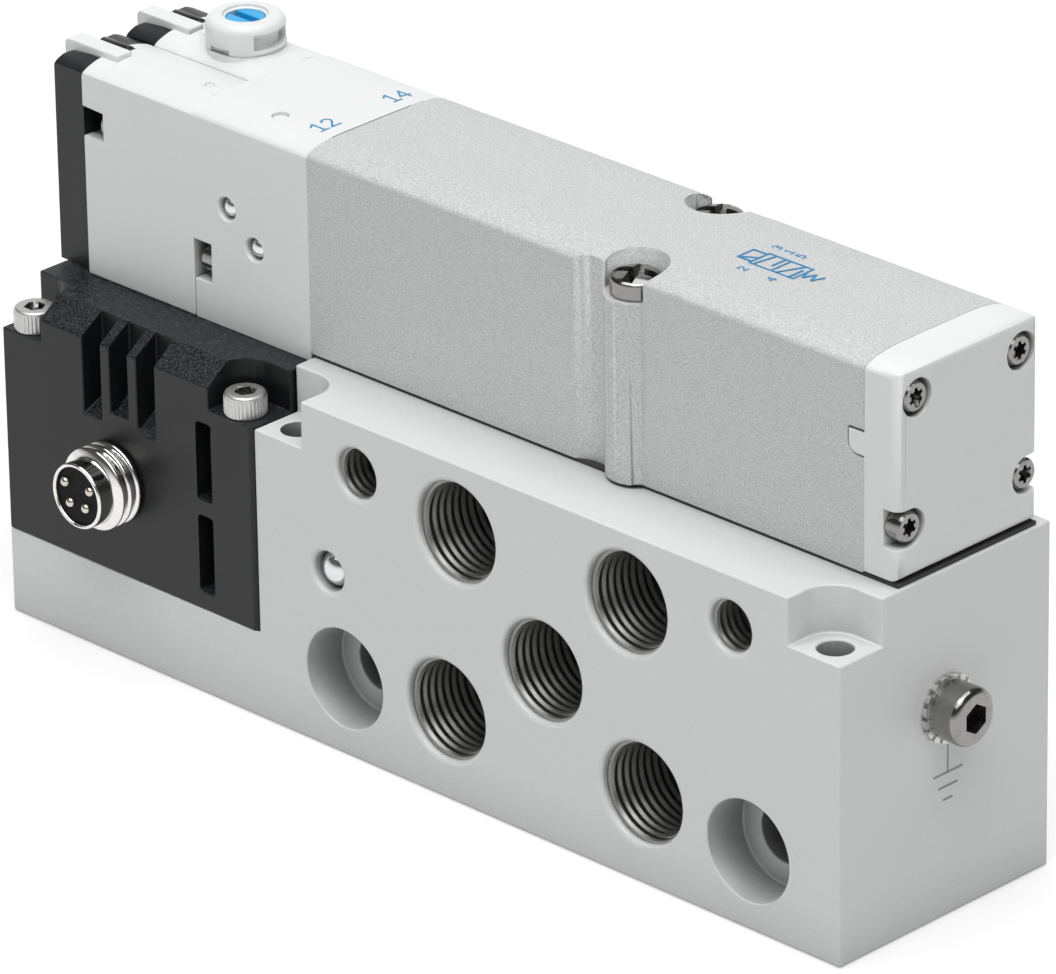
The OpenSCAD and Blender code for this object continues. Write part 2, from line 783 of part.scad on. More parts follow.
// Metal shell: flange inside the wall, ridged thread and smooth sleeve outside
module connector_shell() {
    thread_r = shell_thread_d / 2;
    root_r = thread_r - shell_thread_depth;
    neck_r = sleeve_d / 2 + 0.3;
    flange = 1;
    rim = 0.15;
    length = front_y - sleeve_end;
    ridges = [for (i = [0:shell_turns - 1]) each
        [[root_r, i * shell_pitch], [thread_r, i * shell_pitch + 0.3 * shell_pitch],
         [thread_r, i * shell_pitch + 0.6 * shell_pitch], [root_r, i * shell_pitch + 0.9 * shell_pitch]]];
    wall_l = cavity_y0 - front_y;
    color("silver")
        translate([plug_axis, front_y, plug_axis_z])
            rotate([90, 0, 0])
                rotate_extrude()
                    polygon(concat(
                        [[sleeve_inner_d / 2, -wall_l - flange], [neck_r + 1, -wall_l - flange],
                         [neck_r + 1, -wall_l], [neck_r, -wall_l], [neck_r, 0]],
                        ridges,
                        [[sleeve_d / 2, length - sleeve_l], [sleeve_d / 2, length - rim],
                         [sleeve_d / 2 - rim, length], [sleeve_inner_d / 2 + rim, length],
                         [sleeve_inner_d / 2, length - rim]]));
}

// Black carrier that fills the shell and holds the pins
module connector_insert() {
    sink = 0.35;
    back = cavity_y0 + 1;
    color("#1a1a1a")
        difference() {
            bar_y(plug_axis, sleeve_end + sink, plug_axis_z, sleeve_inner_d, back - sleeve_end - sink);
            pin_pattern(pin_d, sleeve_end, back + eps);
        }
}

// The four pins as round bars between two places along Y
module pin_pattern(d, y0, y1) {
    for (side = [-1, 1]) {
        bar_y(plug_axis + side * pin_top_dx, y0, plug_axis_z + pin_dz, d, y1 - y0);
        bar_y(plug_axis + side * pin_low_dx, y0, plug_axis_z - pin_dz, d, y1 - y0);
    }
}

module contact_pins() {
    tip = sleeve_end + 0.35;
    color("gold") {
        pin_pattern(pin_d, tip, board_y);
        pin_pattern(pin_d * 0.6, board_y - eps, board_y + board_t + 0.6);
        for (side = [-1, 1]) {
            translate([plug_axis + side * pin_top_dx, tip, plug_axis_z + pin_dz])
                sphere(d = pin_d);
            translate([plug_axis + side * pin_low_dx, tip, plug_axis_z - pin_dz])
                sphere(d = pin_d);
        }
    }
}

// Gap at each end of the board
board_gap = 0.35;
module circuit_board() {
    color("seagreen")
        difference() {
            box(cavity_x0 + board_gap, cavity_x1 - board_gap, board_y, board_y + board_t,
                ledge_h, housing_z1 - housing_wall);
            pin_pattern(pin_d * 0.6, board_y - eps, board_y + board_t + eps);
        }
}

// Strip from the board back to the contacts under the rear pilot
module socket_strip() {
    top = housing_z1 - housing_wall;
    half = coil_pin_dx + strip_wall;
    color("#303438")
        difference() {
            box(override_axis_x - half, override_axis_x + half, board_y + board_t,
                coil_y + coil_pin_d + strip_wall, top - coil_pin_reach - 0.4, top);
            for (side = [-1, 1])
                bar_z(override_axis_x + side * coil_pin_dx, coil_y, top - coil_pin_reach, coil_pin_d,
                      coil_pin_reach + eps);
        }
}
coil_pin_d = 0.7;
// Depth that the contacts reach into the strip, and the strip's wall round them
coil_pin_reach = 2.6;
strip_wall = 1.1;

// Valve body

// Outside of the body: crowned section, two columns and two grooves
module body_outside() {
    groove_out = valve_pitch - valve_w + screw_in;
    difference() {
        along_x(body_x0, body_l)
            crowned(valve_y, valve_w, body_z0, shoulder_z, crown_run, crown_rise);
        for (i = [0, 1]) {
            p = screw_places[i];
            q = screw_places[1 - i];
            bar_z(q[0], valve_y + p[2] * (valve_w / 2 + groove_out), body_z0 - eps,
                  2 * (groove_out + groove_depth), shoulder_h + crown_rise + 2 * eps);
        }
    }
    for (p = screw_places)
        bar_z(p[0], p[1], body_z0, column_d, shoulder_h - screw_seat);
}

// Rings of space round the spool, one at each port
module chambers() {
    for (k = [-2:2]) {
        x = section_x + k * channel_pitch;
        bar_x(x - chamber_w / 2, valve_y, bore_z, chamber_d, chamber_w);
        bar_z(x, valve_y, body_z0 - eps, channel_d, bore_h + eps);
    }
}

seal_places = [for (k = [-2.5:1:2.5]) section_x + k * channel_pitch];
seal_d = bore_d + 2 * seal_t;

module body_bores() {
    bar_x(body_x0 - eps, valve_y, bore_z, bore_d, body_l + 2 * eps);
    bar_x(body_x0 - eps, valve_y, bore_z, cylinder_d, cylinder_end - body_x0 + eps);
    bar_x(spring_chamber_x, valve_y, bore_z, spring_bore_d, spring_chamber_l + eps);
    chambers();
    for (x = seal_places)
        bar_x(x - seal_w / 2, valve_y, bore_z, seal_d, seal_w);
}

// Supply duct from the pilot port under the body to the pilot block
duct_z = body_z0 + 2.1;
duct_d = 1.6;
module supply_duct() {
    x = section_x - pilot_port_pitch / 2;
    for (p = [x, section_x - plug_x])
        bar_z(p, valve_y, body_z0 - eps, duct_d, duct_z + eps - body_z0);
    bar_x(body_x0 - eps, valve_y, duct_z, duct_d, x - body_x0 + duct_d / 2 + eps);
}

// Tapped holes in both ends of the body
end_grip = 7;
module end_tappings() {
    for (p = end_places) {
        bar_x(body_x0 - eps, p[0], p[1], end_screw_d, end_grip + 0.5 + eps);
        bar_x(body_x1 - end_grip - 0.5, p[0], p[1], end_screw_d, end_grip + 0.5 + eps);
    }
}

ring_t = 0.8;
cap_ring_d = spring_bore_d + 3;
block_ring_d = cylinder_d + 2.8;
module ring_groove(x, d) {
    difference() {
        bar_x(x, valve_y, bore_z, d, ring_t);
        bar_x(x - eps, valve_y, bore_z, d - 2 * ring_t, ring_t + 2 * eps);
    }
}

// The locating tab's outline: flat top, round lower corner
module tab_outline(grow) {
    z1 = body_z0 + tab_z + grow;
    height = tab_h + 2 * grow;
    x0 = body_x1 - tab_l - grow;
    r = height * 0.45;
    translate([x0, z1 - height]) {
        translate([0, r])
            square([tab_l + grow + 0.4, height - r]);
        translate([r, 0])
            square([tab_l + grow + 0.4 - r, height]);
        translate([r, r])
            circle(r = r);
    }
}

tab_t = 1.2;
module valve_body() {
    pocket_d = screw_head_d + 1.2;
    color("#c9cac8")
        difference() {
            body_outside();
            for (p = screw_places) {
                bar_z(p[0], p[1], body_z0 - eps, screw_d + 0.4, shoulder_h + 2 * eps);
                bar_z(p[0], p[1], seat_z, pocket_d, screw_seat + crown_rise + eps);
            }
            body_bores();
            supply_duct();
            end_tappings();
            ring_groove(body_x1 - ring_t, cap_ring_d);
            ring_groove(body_x0, block_ring_d);
            along_y(valve_front - eps, tab_t + 0.2 + eps)
                tab_outline(0.15);
        }
}

// Pan head screws with a cross recess
module valve_screws() {
    z0 = base_h - screw_grip;
    color("silver")
        for (p = screw_places)
            difference() {
                union() {
                    bar_z(p[0], p[1], z0, screw_d, seat_z - z0);
                    bar_z(p[0], p[1], seat_z, screw_head_d, screw_head_h - 0.5);
                    bar_z(p[0], p[1], seat_z + screw_head_h - 0.5, screw_head_d, 0.5,
                          screw_head_d - 1.2);
                }
                for (a = [0, 90])
                    translate([p[0], p[1], seat_z + screw_head_h])
                        rotate(a + 20)
                            cube([screw_head_d * 0.72, 0.8, 2], center = true);
            }
}

// Lands of the spool as pairs of places along X, for the spool at rest
half_travel = spool_travel / 2;
land_half = channel_pitch * 0.45;
lands = [[spool_x0, section_x - 1.5 * channel_pitch - half_travel],
         [section_x - half_travel - land_half, section_x - half_travel + land_half],
         [section_x + 1.5 * channel_pitch - half_travel, spool_x1]];
module spool() {
    color("lightsteelblue") {
        for (land = lands)
            bar_x(land[0], valve_y, bore_z, bore_d - 2 * slide_gap, land[1] - land[0]);
        bar_x(spool_x0, valve_y, bore_z, spool_neck_d, spool_x1 - spool_x0);
        bar_x(spool_x1 - eps, valve_y, bore_z, spring_pilot_d, 2.5 + eps);
    }
}
spring_pilot_d = 3.4;

module spool_seals() {
    color("#303030")
        for (x = seal_places)
            difference() {
                bar_x(x - seal_w / 2, valve_y, bore_z, seal_d, seal_w);
                bar_x(x - seal_w, valve_y, bore_z, bore_d, 2 * seal_w);
            }
}

piston_groove_d = cylinder_d - 2.2;
piston_ring_w = 1.2;
module drive_piston() {
    ring_x = piston_x + (piston_l - piston_ring_w) / 2;
    color("#3c3f44")
        difference() {
            bar_x(piston_x, valve_y, bore_z, cylinder_d - 2 * slide_gap, piston_l);
            difference() {
                bar_x(ring_x, valve_y, bore_z, cylinder_d + 1, piston_ring_w);
                bar_x(ring_x - eps, valve_y, bore_z, piston_groove_d, piston_ring_w + 2 * eps);
            }
        }
}

module piston_seal() {
    ring_x = piston_x + (piston_l - piston_ring_w) / 2;
    color("#202020")
        difference() {
            bar_x(ring_x, valve_y, bore_z, cylinder_d - 0.04, piston_ring_w);
            bar_x(ring_x - eps, valve_y, bore_z, piston_groove_d, piston_ring_w + 2 * eps);
        }
}

// Return spring between the spool's end and the cap's spigot
module return_spring() {
    length = body_x1 - spigot_l - spool_x1;
    color("darkgray")
        translate([spool_x1, valve_y, bore_z])
            rotate([0, 90, 0])
                spring(length, return_spring_d, return_wire_d, 5);
}

// End cap

module end_heads(x, d, length) {
    for (p = end_places)
        bar_x(x, p[0], p[1], d, length);
}

// Opening from a lower pocket to the side wall of the cap
module open_pocket(wall, side, sink, head_room) {
    z = body_z0 + end_low_z;
    box(cap_x1 - sink, cap_x1 + eps, min(wall + side * eps, wall - side * end_low_in),
        max(wall + side * eps, wall - side * end_low_in), z - head_room / 2, z + head_room / 2);
}

module end_cap() {
    head_room = end_head_d + 2 * end_head_gap;
    sink = end_head_h + end_head_sink;
    z0 = body_z0 + cap_lift;
    height = crown_z - z0;
    color("whitesmoke")
        difference() {
            union() {
                intersection() {
                    along_x(body_x1, cap_l)
                        crowned(valve_y, valve_w, z0, shoulder_z, crown_run, crown_rise);
                    translate([body_x1, valve_y, 0])
                        linear_extrude(height = crown_z + eps)
                            rounded_end(cap_l, valve_w, cap_edge_r);
                    translate([body_x1, 0, z0 + height / 2])
                        rotate([90, 0, 0])
                            linear_extrude(height = 4 * valve_w, center = true)
                                rounded_end(cap_l, height, cap_edge_r);
                }
                bar_x(body_x1 - spigot_l, valve_y, bore_z, spring_bore_d - 0.1, spigot_l + eps);
                along_y(valve_front, tab_t)
                    tab_outline(0);
            }
            end_heads(cap_x1 - sink, head_room, sink + eps);
            for (side = [-1, 1])
                open_pocket(valve_y + side * valve_w / 2, side, sink, head_room);
            end_heads(body_x1 - eps, end_screw_d + 0.2, cap_l + 2 * eps);
        }
}

module end_screw(x, p, side) {
    translate([x, p[0], p[1]])
        rotate([0, side * 90, 0])
            difference() {
                union() {
                    cylinder(h = end_head_h - 0.25, d = end_head_d);
                    translate([0, 0, end_head_h - 0.25])
                        cylinder(h = 0.25, d1 = end_head_d, d2 = end_head_d - 0.4);
                }
                translate([0, 0, end_head_h - 0.9])
                    linear_extrude(height = 1.2)
                        star(1.7);
            }
}

module end_cap_screws() {
    seat = cap_x1 - end_head_h - end_head_sink;
    color("silver")
        for (p = end_places) {
            end_screw(seat, p, 1);
            bar_x(body_x1 - end_grip, p[0], p[1], end_screw_d, seat - body_x1 + end_grip + 0.1);
        }
}

module end_cap_seal() {
    color("#202020")
        ring_groove(body_x1 - ring_t, cap_ring_d);
}

module block_seal() {
    color("#202020")
        ring_groove(body_x0, block_ring_d);
}

// Pilot block

// Places of the two balls, from the block's left face and above the underside of the body
ball_places = [[block_x0 + 4.45, body_z0 + 11.05], [block_x0 + 7.95, body_z0 + 8.05]];
ball_sink = 0.15;
module block_windows() {
    z = body_z0 + end_low_z;
    for (side = [-1, 1]) {
        wall = valve_y + side * valve_w / 2;
        inner = wall - side * window_d;
        box(block_x0 - eps, block_x0 + window_l, min(wall + side * eps, inner),
            max(wall + side * eps, inner), z - window_h / 2, z + window_h / 2);
    }
}

// Air comes from the body at the bottom, goes to the rear pilot through the lower cross
// drilling, and returns through the upper one to the middle of the piston
module block_ducts(boss_end) {
    upper = ball_places[0];
    lower = ball_places[1];
    bar_x(lower[0], valve_y, duct_z, duct_d, body_x0 + eps - lower[0]);
    bar_z(lower[0], valve_y, duct_z, duct_d, lower[1] - duct_z);
    bar_x(upper[0], valve_y, bore_z, duct_d, boss_end + eps - upper[0]);
}

module pilot_block() {
    boss_end = piston_x - 0.15;
    color("whitesmoke")
        difference() {
            union() {
                along_x(block_x0, block_l)
                    crowned(valve_y, valve_w, housing_z1, shoulder_z, crown_run, crown_rise);
                bar_x(body_x0 - eps, valve_y, bore_z, cylinder_d - 3, boss_end - body_x0 + eps);
            }
            block_windows();
            end_heads(block_x0 - eps, end_head_d + 2 * end_head_gap, window_l + eps);
            end_heads(block_x0, end_screw_d + 0.2, block_l + eps);
            block_ducts(boss_end);
            for (p = ball_places) {
                bar_y(p[0], valve_front - eps, p[1], ball_d, ball_d + ball_sink + eps);
                bar_y(p[0], valve_front, p[1], duct_d, coil_y - valve_front);
                bar_x(block_x0 - eps, coil_y, p[1], duct_d, p[0] - block_x0 + duct_d / 2 + eps);
                bar_y(p[0], valve_front - eps, p[1], ball_d + 0.3 + 2 * eps, 0.15 + eps, ball_d);
            }
            for (p = pilot_screw_places)
                bar_x(block_x0 - eps, p, pilot_screw_z + body_z0, end_screw_d, pilot_grip + 0.5 + eps);
            bar_z(block_x0 + block_mark_x, valve_front + 3.6, crown_z - 0.4, 1.7, 1);
        }
}
pilot_screw_places = [valve_front + pilot_screw_in, valve_back - pilot_screw_in];
// Place of the round moulding mark on the block's top, from its left end
block_mark_x = block_l * 0.54;

module block_screws() {
    seat = block_x0 + window_l;
    color("silver")
        for (p = end_places) {
            end_screw(seat, p, -1);
            bar_x(seat - 0.1, p[0], p[1], end_screw_d, body_x0 + end_grip - seat);
        }
}

module block_balls() {
    color("silver")
        for (p = ball_places)
            translate([p[0], valve_front + ball_d / 2 + ball_sink, p[1]])
                sphere(d = ball_d);
}

// Pilots

// The room that the tongue and the smoked window take in one pilot, seen in the YZ plane
lens_z = shoulder_z - 1.6;
lens_x0 = cover_x0 + lens_back;

module tongue(y) {
    y0 = y - pilot_w / 2 + tongue_y;
    x0 = cover_x0 - tongue_over;
    r = 0.6;
    z0 = shoulder_z - 0.3;
    intersection() {
        box(x0, pilot_x0 + 2.2, y0, y0 + tongue_w, z0, tongue_z);
        translate([x0, 0, 0])
            along_y(y0, tongue_w) {
                translate([0, z0])
                    square([pilot_l, tongue_z - z0 - r]);
                translate([r, z0])
                    square([pilot_l, tongue_z - z0]);
                translate([r, tongue_z - r])
                    circle(r = r);
            }
    }
}

module lens_shape(y, grow) {
    y0 = y - pilot_w / 2 + tongue_y + tongue_w;
    r = lens_w / 2;
    along_x(lens_x0 - grow, lens_l + 2 * grow)
        translate([y0 + r, 0]) {
            translate([-r - grow, lens_z - grow])
                square([lens_w + 2 * grow, tongue_z - 0.15 - lens_z - r + grow]);
            translate([0, tongue_z - 0.15 - r])
                circle(r = r + grow);
        }
}

// Outside of one pilot with its tongue, less the room for the smoked window
module pilot_shell(y, side) {
    recess_y = y + side * pilot_w / 2;
    z = body_z0 + pilot_screw_z;
    difference() {
        union() {
            along_x(pilot_x0, pilot_l)
                crowned(y, pilot_w, housing_z1, shoulder_z, pilot_crown_run, crown_rise - 0.1,
                        pilot_bend);
            tongue(y);
        }
        lens_shape(y, fit_gap);
        box(pilot_x0 - eps, pilot_x0 + recess_l, min(recess_y + side * eps, recess_y - side * 3.3),
            max(recess_y + side * eps, recess_y - side * 3.3), z - recess_h / 2, z + recess_h / 2);
        bar_x(pilot_x0 - eps, recess_y - side * pilot_screw_in, z, end_head_d + 0.1,
              pilot_head_x + end_head_h - pilot_x0 + eps);
        bar_x(pilot_x0, recess_y - side * pilot_screw_in, z, end_screw_d + 0.2, pilot_l + eps);
    }
}
pilot_head_x = pilot_x0 + 2;

module pilot_housing() {
    d = coil_d + 2 * fit_gap;
    bore_top = armature_top + 0.02;
    floor_z = stem_head_z - override_spring_l;
    color("whitesmoke")
        difference() {
            union() {
                pilot_shell(coil_y, 1);
                bar_z(override_axis_x, coil_y, shoulder_z - 1, override_cap_d, crown_z - shoulder_z + 1);
            }
            bar_z(override_axis_x, coil_y, coil_z, d, coil_h + fit_gap);
            box(pilot_x0 - eps, override_axis_x, coil_y - d / 2, coil_y + d / 2, coil_z,
                coil_z + coil_h + fit_gap);
            bar_z(override_axis_x, coil_y, coil_z + 1, armature_d + 2 * slide_gap, bore_top - coil_z - 1);
            bar_z(override_axis_x, coil_y, bore_top - eps, stem_d + 2 * slide_gap, 8);
            bar_z(override_axis_x, coil_y, floor_z, button_d + 2 * slide_gap, crown_z - floor_z + eps);
            for (side = [-1, 1])
                bar_z(override_axis_x + side * coil_pin_dx, coil_y, housing_z1 - eps, 1, 4);
            for (p = ball_places)
                bar_x(override_axis_x, coil_y, p[1], duct_d, block_x0 + eps - override_axis_x);
        }
}
stem_d = 1;
override_spring_l = 1.6;

module blank_housing() {
    color("whitesmoke")
        difference() {
            pilot_shell(blank_y, -1);
            bar_z(override_axis_x + 4.6, blank_y, crown_z - 0.3, 0.9, 1);
        }
}

// Black end cover with a falling top, cut out for the tongue and the smoked window
module cover(y) {
    y0 = y - pilot_w / 2 + tongue_y;
    z0 = housing_z1 + 0.4;
    rise = crown_rise - 0.15;
    top = shoulder_z + rise;
    inset = 0.1;
    color("#232427")
        difference() {
            intersection() {
                along_x(cover_x0, cover_l)
                    crowned(y, pilot_w - 2 * inset, z0, shoulder_z, pilot_crown_run, rise, pilot_bend);
                along_y(y - pilot_w / 2, pilot_w)
                    polygon([[cover_x0 - eps, z0], [pilot_x0 + eps, z0], [pilot_x0 + eps, top],
                             [pilot_x0, top], [cover_x0, top - cover_fall],
                             [cover_x0 - eps, top - cover_fall]]);
            }
            box(cover_x0 - eps, pilot_x0 + eps, y0 - fit_gap, y0 + tongue_w + fit_gap,
                shoulder_z - 0.3 - fit_gap, tongue_z);
            lens_shape(y, fit_gap);
        }
}

module pilot_cover() {
    cover(coil_y);
}

module blank_cover() {
    cover(blank_y);
}

module pilot_lens() {
    color("#3a3a3c")
        lens_shape(coil_y, 0);
}

module blank_lens() {
    color("#3a3a3c")
        lens_shape(blank_y, 0);
}

module pilot_screws() {
    seat = pilot_head_x + end_head_h;
    color("silver")
        for (y = pilot_screw_places) {
            end_screw(seat, [y, body_z0 + pilot_screw_z], -1);
            bar_x(seat - 0.1, y, body_z0 + pilot_screw_z, end_screw_d, block_x0 + pilot_grip - seat);
        }
}

// Manual override

// Round cap: bevelled rim, an arc window with a lip below it and a small prying notch
module override_cap() {
    r = override_cap_d / 2;
    hole_r = button_d / 2 + slide_gap;
    edge = 0.9;
    skirt = 0.5;
    window_top = override_cap_h * 0.56;
    color("whitesmoke")
        translate([override_axis_x, coil_y, crown_z])
            difference() {
                rotate_extrude()
                    difference() {
                        union() {
                            translate([hole_r, 0])
                                square([r - hole_r, override_cap_h - edge]);
                            translate([hole_r, 0])
                                square([r - edge - hole_r, override_cap_h]);
                            translate([r - edge, override_cap_h - edge])
                                circle(r = edge);
                        }
                        translate([hole_r, override_cap_h])
                            circle(r = 0.3);
                    }
                rotate([0, 0, -32])
                    rotate_extrude(angle = 88) {
                        translate([r - 0.75, skirt])
                            square([2, window_top - skirt]);
                        translate([r - 0.35, skirt])
                            square([1, override_cap_h - edge - skirt]);
                    }
                rotate([0, 0, -87])
                    translate([r, 0, 0])
                        cube([0.8, 2.2, 1], center = true);
            }
}

module override_button() {
    top = crown_z + override_cap_h - button_sink;
    color("#0b7fd0")
        difference() {
            bar_z(override_axis_x, coil_y, button_z, button_d, top - button_z);
            translate([override_axis_x, coil_y, top])
                cube([button_d + 1, button_slot_w, 2 * button_slot_depth], center = true);
        }
}

// Stem that carries the button and reaches down to the armature
module override_stem() {
    tip = armature_top + slide_gap;
    color("ivory") {
        bar_z(override_axis_x, coil_y, tip, stem_d, stem_head_z - tip + 0.1);
        bar_z(override_axis_x, coil_y, stem_head_z, button_d - 0.1, stem_head_h);
    }
}

module override_spring() {
    color("darkgray")
        translate([override_axis_x, coil_y, stem_head_z - override_spring_l])
            spring(override_spring_l, button_d - 0.6, 0.25, 3, 12, 6);
}

// Solenoid

module coil() {
    color("#b5651d")
        difference() {
            bar_z(override_axis_x, coil_y, coil_z, coil_d, coil_h);
            bar_z(override_axis_x, coil_y, coil_z - eps, armature_d + 2 * slide_gap, coil_h + 2 * eps);
        }
}

module coil_core() {
    color("slategray")
        bar_z(override_axis_x, coil_y, coil_z, armature_d + 2 * slide_gap, core_top - coil_z);
}

spring_hole = 2.5;
module armature() {
    color("slategray")
        difference() {
            bar_z(override_axis_x, coil_y, armature_z, armature_d, armature_l);
            bar_z(override_axis_x, coil_y, armature_z - eps, armature_d - 1.1, spring_hole + eps);
        }
}

module armature_spring() {
    color("darkgray")
        translate([override_axis_x, coil_y, core_top])
            spring(armature_z + spring_hole - core_top, armature_d - 1.4, 0.24, 5, 12, 6);
}

// Contacts from the coil down into the socket strip
module coil_pins() {
    color("gold")
        for (side = [-1, 1])
            bar_z(override_axis_x + side * coil_pin_dx, coil_y, housing_z1 - housing_wall - coil_pin_reach,
                  coil_pin_d, coil_z - housing_z1 + housing_wall + coil_pin_reach);
}

sub_base();
channel_plug();
ground_screw();
ground_lock_washer();
base_gasket();
connector_housing();
housing_screws();
connector_shell();
connector_insert();
contact_pins();
circuit_board();
socket_strip();
valve_body();
valve_screws();
spool();
spool_seals();
drive_piston();
piston_seal();
return_spring();
end_cap();
end_cap_screws();
end_cap_seal();
block_seal();
pilot_block();
block_screws();
block_balls();
pilot_housing();
blank_housing();
pilot_cover();
blank_cover();
pilot_lens();
blank_lens();
pilot_screws();
override_cap();
override_button();
override_stem();
override_spring();
coil();
coil_core();
armature();
armature_spring();
coil_pins();
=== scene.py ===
import json
import math

import bmesh
import bpy
from mathutils import Matrix, Vector
from mathutils.bvhtree import BVHTree
from mathutils.geometry import intersect_point_line

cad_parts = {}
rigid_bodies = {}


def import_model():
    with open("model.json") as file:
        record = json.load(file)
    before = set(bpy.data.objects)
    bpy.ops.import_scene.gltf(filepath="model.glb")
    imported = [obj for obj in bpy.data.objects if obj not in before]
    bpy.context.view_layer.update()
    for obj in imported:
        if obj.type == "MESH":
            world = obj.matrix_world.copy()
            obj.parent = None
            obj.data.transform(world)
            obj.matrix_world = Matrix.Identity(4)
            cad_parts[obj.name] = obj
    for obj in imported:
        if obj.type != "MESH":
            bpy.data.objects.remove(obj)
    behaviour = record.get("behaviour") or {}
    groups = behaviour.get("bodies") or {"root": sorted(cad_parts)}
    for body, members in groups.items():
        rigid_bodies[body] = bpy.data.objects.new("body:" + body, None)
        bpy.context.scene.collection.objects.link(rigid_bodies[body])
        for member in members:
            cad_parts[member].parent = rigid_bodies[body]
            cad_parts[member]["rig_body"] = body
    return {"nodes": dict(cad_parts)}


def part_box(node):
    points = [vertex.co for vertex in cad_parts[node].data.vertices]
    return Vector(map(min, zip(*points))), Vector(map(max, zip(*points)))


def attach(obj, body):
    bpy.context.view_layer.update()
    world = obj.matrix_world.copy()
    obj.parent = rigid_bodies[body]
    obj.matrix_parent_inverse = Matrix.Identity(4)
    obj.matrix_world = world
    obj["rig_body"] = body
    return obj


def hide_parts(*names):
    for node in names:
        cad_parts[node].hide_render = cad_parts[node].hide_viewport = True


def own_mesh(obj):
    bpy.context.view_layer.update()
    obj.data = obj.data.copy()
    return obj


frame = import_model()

bl_info = {
    "name": "Solenoid valve on a sub-base",
    "version": (1, 0, 0),
    "blender": (4, 5, 0),
    "location": "3D View > Sidebar > Valve",
    "description": "Finishes, threads, springs and marks of a five-port solenoid valve",
    "category": "Object",
}

MM = 0.001

# How a CAD mesh is merged and where its edges are rounded
MERGE_GAP = 0.002 * MM
FLAT_TURN = math.radians(0.05)
GENTLE_TURN = math.radians(40)
NEARLY_STRAIGHT = 0.9
RUN_WIDTHS = 3
CLEARANCE = 1.2
SLIDE_ROOM = 1.15
CORNER_ROOM = 2.2
FLATNESS_WEIGHT = 80

# Places that the CAD model gives, in millimetres
VALVE_Y = 3.1
WORKING_PORTS = [(16.75, 16.6), (6.25, 26.75), (27.25, 26.75), (4.6, 8.7), (28.9, 8.7)]
WORKING_BORE_R = 4.865
WORKING_THREAD = 8.6
PILOT_PORTS = [(-6.25, 28.55), (39.75, 28.55)]
PILOT_BORE_R = 2.45
PILOT_THREAD = 6.5
THREAD_START = 0.3
THREAD_SINK = 0.03
FRONT_Y = -13.5
BASE_X1 = 52.75
OVERRIDE_X = -41.2
OVERRIDE_Y = 7.65
HOUSING_SCREWS = [(-50.4, -11.45), (-22.4, -11.45)]
VALVE_SCREWS = [(20.0, -4.15), (16.1, 10.35)]
SCREW_SEAT_Z = 51.25
SCREW_HEAD_R = 2.4
SCREW_SHANK_R = 1.45
SCREW_DOME = 0.7
SCREW_BREAK = 0.08
RECESS_DEPTH = 1.6
MARK_LIFT = 0.02


def linear(code):
    """Turns an sRGB hex colour into linear values with full alpha."""
    parts = [int(code[i : i + 2], 16) / 255 for i in (0, 2, 4)]
    turned = [c / 12.92 if c <= 0.04045 else ((c + 0.055) / 1.055) ** 2.4 for c in parts]
    return turned + [1.0]


def colour(label, text, code):
    return bpy.props.FloatVectorProperty(
        name=label, description=text, subtype="COLOR", size=4, min=0, max=1, default=linear(code)
    )


def length(label, text, value):
    return bpy.props.FloatProperty(
        name=label, description=text, default=value * MM, min=0, unit="LENGTH", subtype="DISTANCE",
        precision=5
    )


def power(label, text, watts):
    return bpy.props.FloatProperty(name=label, description=text, unit="POWER", default=watts, min=0)


class ValveSizes(bpy.types.PropertyGroup):
    metal_edge: length("Metal edges", "Rounding of the machined aluminium edges", 0.2)
    cast_edge: length("Cast edges", "Rounding of the die-cast body's edges", 0.22)
    plastic_edge: length("Plastic edges", "Rounding of the moulded plastic edges", 0.16)
    screw_edge: length("Screw edges", "Rounding of the edges of screws and small turned pieces", 0.12)
    port_pitch: length("Port thread pitch", "Pitch of the thread in the working ports", 0.907)
    port_crest: length("Port thread depth", "Depth of the thread in the working ports", 0.52)
    pilot_pitch: length("Pilot thread pitch", "Pitch of the thread in the pilot ports", 0.8)
    pilot_crest: length("Pilot thread depth", "Depth of the thread in the pilot ports", 0.36)
    knurl_flutes: bpy.props.IntProperty(
        name="Knurl flutes", description="Number of flutes round each socket head", default=34, min=12, max=60
    )
    winding: length("Winding wire", "Diameter of the coil's wire with its enamel", 0.25)


class ValveColours(bpy.types.PropertyGroup):
    blasted: colour("Sub-base", "Blasted and clear anodised aluminium", "DEDFDF")
    cast: colour("Body", "Blasted die-cast aluminium", "C9CACA")
    white: colour("White plastic", "Moulded white plastic of pilots and cap", "E3E5E4")
    black: colour("Black plastic", "Moulded black nylon of the housing", "151618")
    cover: colour("Covers", "Black nylon of the pilots' covers", "1A1B1D")
    smoked: colour("Windows", "Smoked plastic of the indicator windows", "1A1718")
    blue: colour("Button", "Blue plastic of the override button", "0878C4")
    ink: colour("Marks", "Blue printing ink", "0087BC")
    zinc: colour("Screws", "Bright zinc plated steel", "BEBEBC")
    nickel: colour("Plug shell", "Nickel plated brass", "E2E0DC")


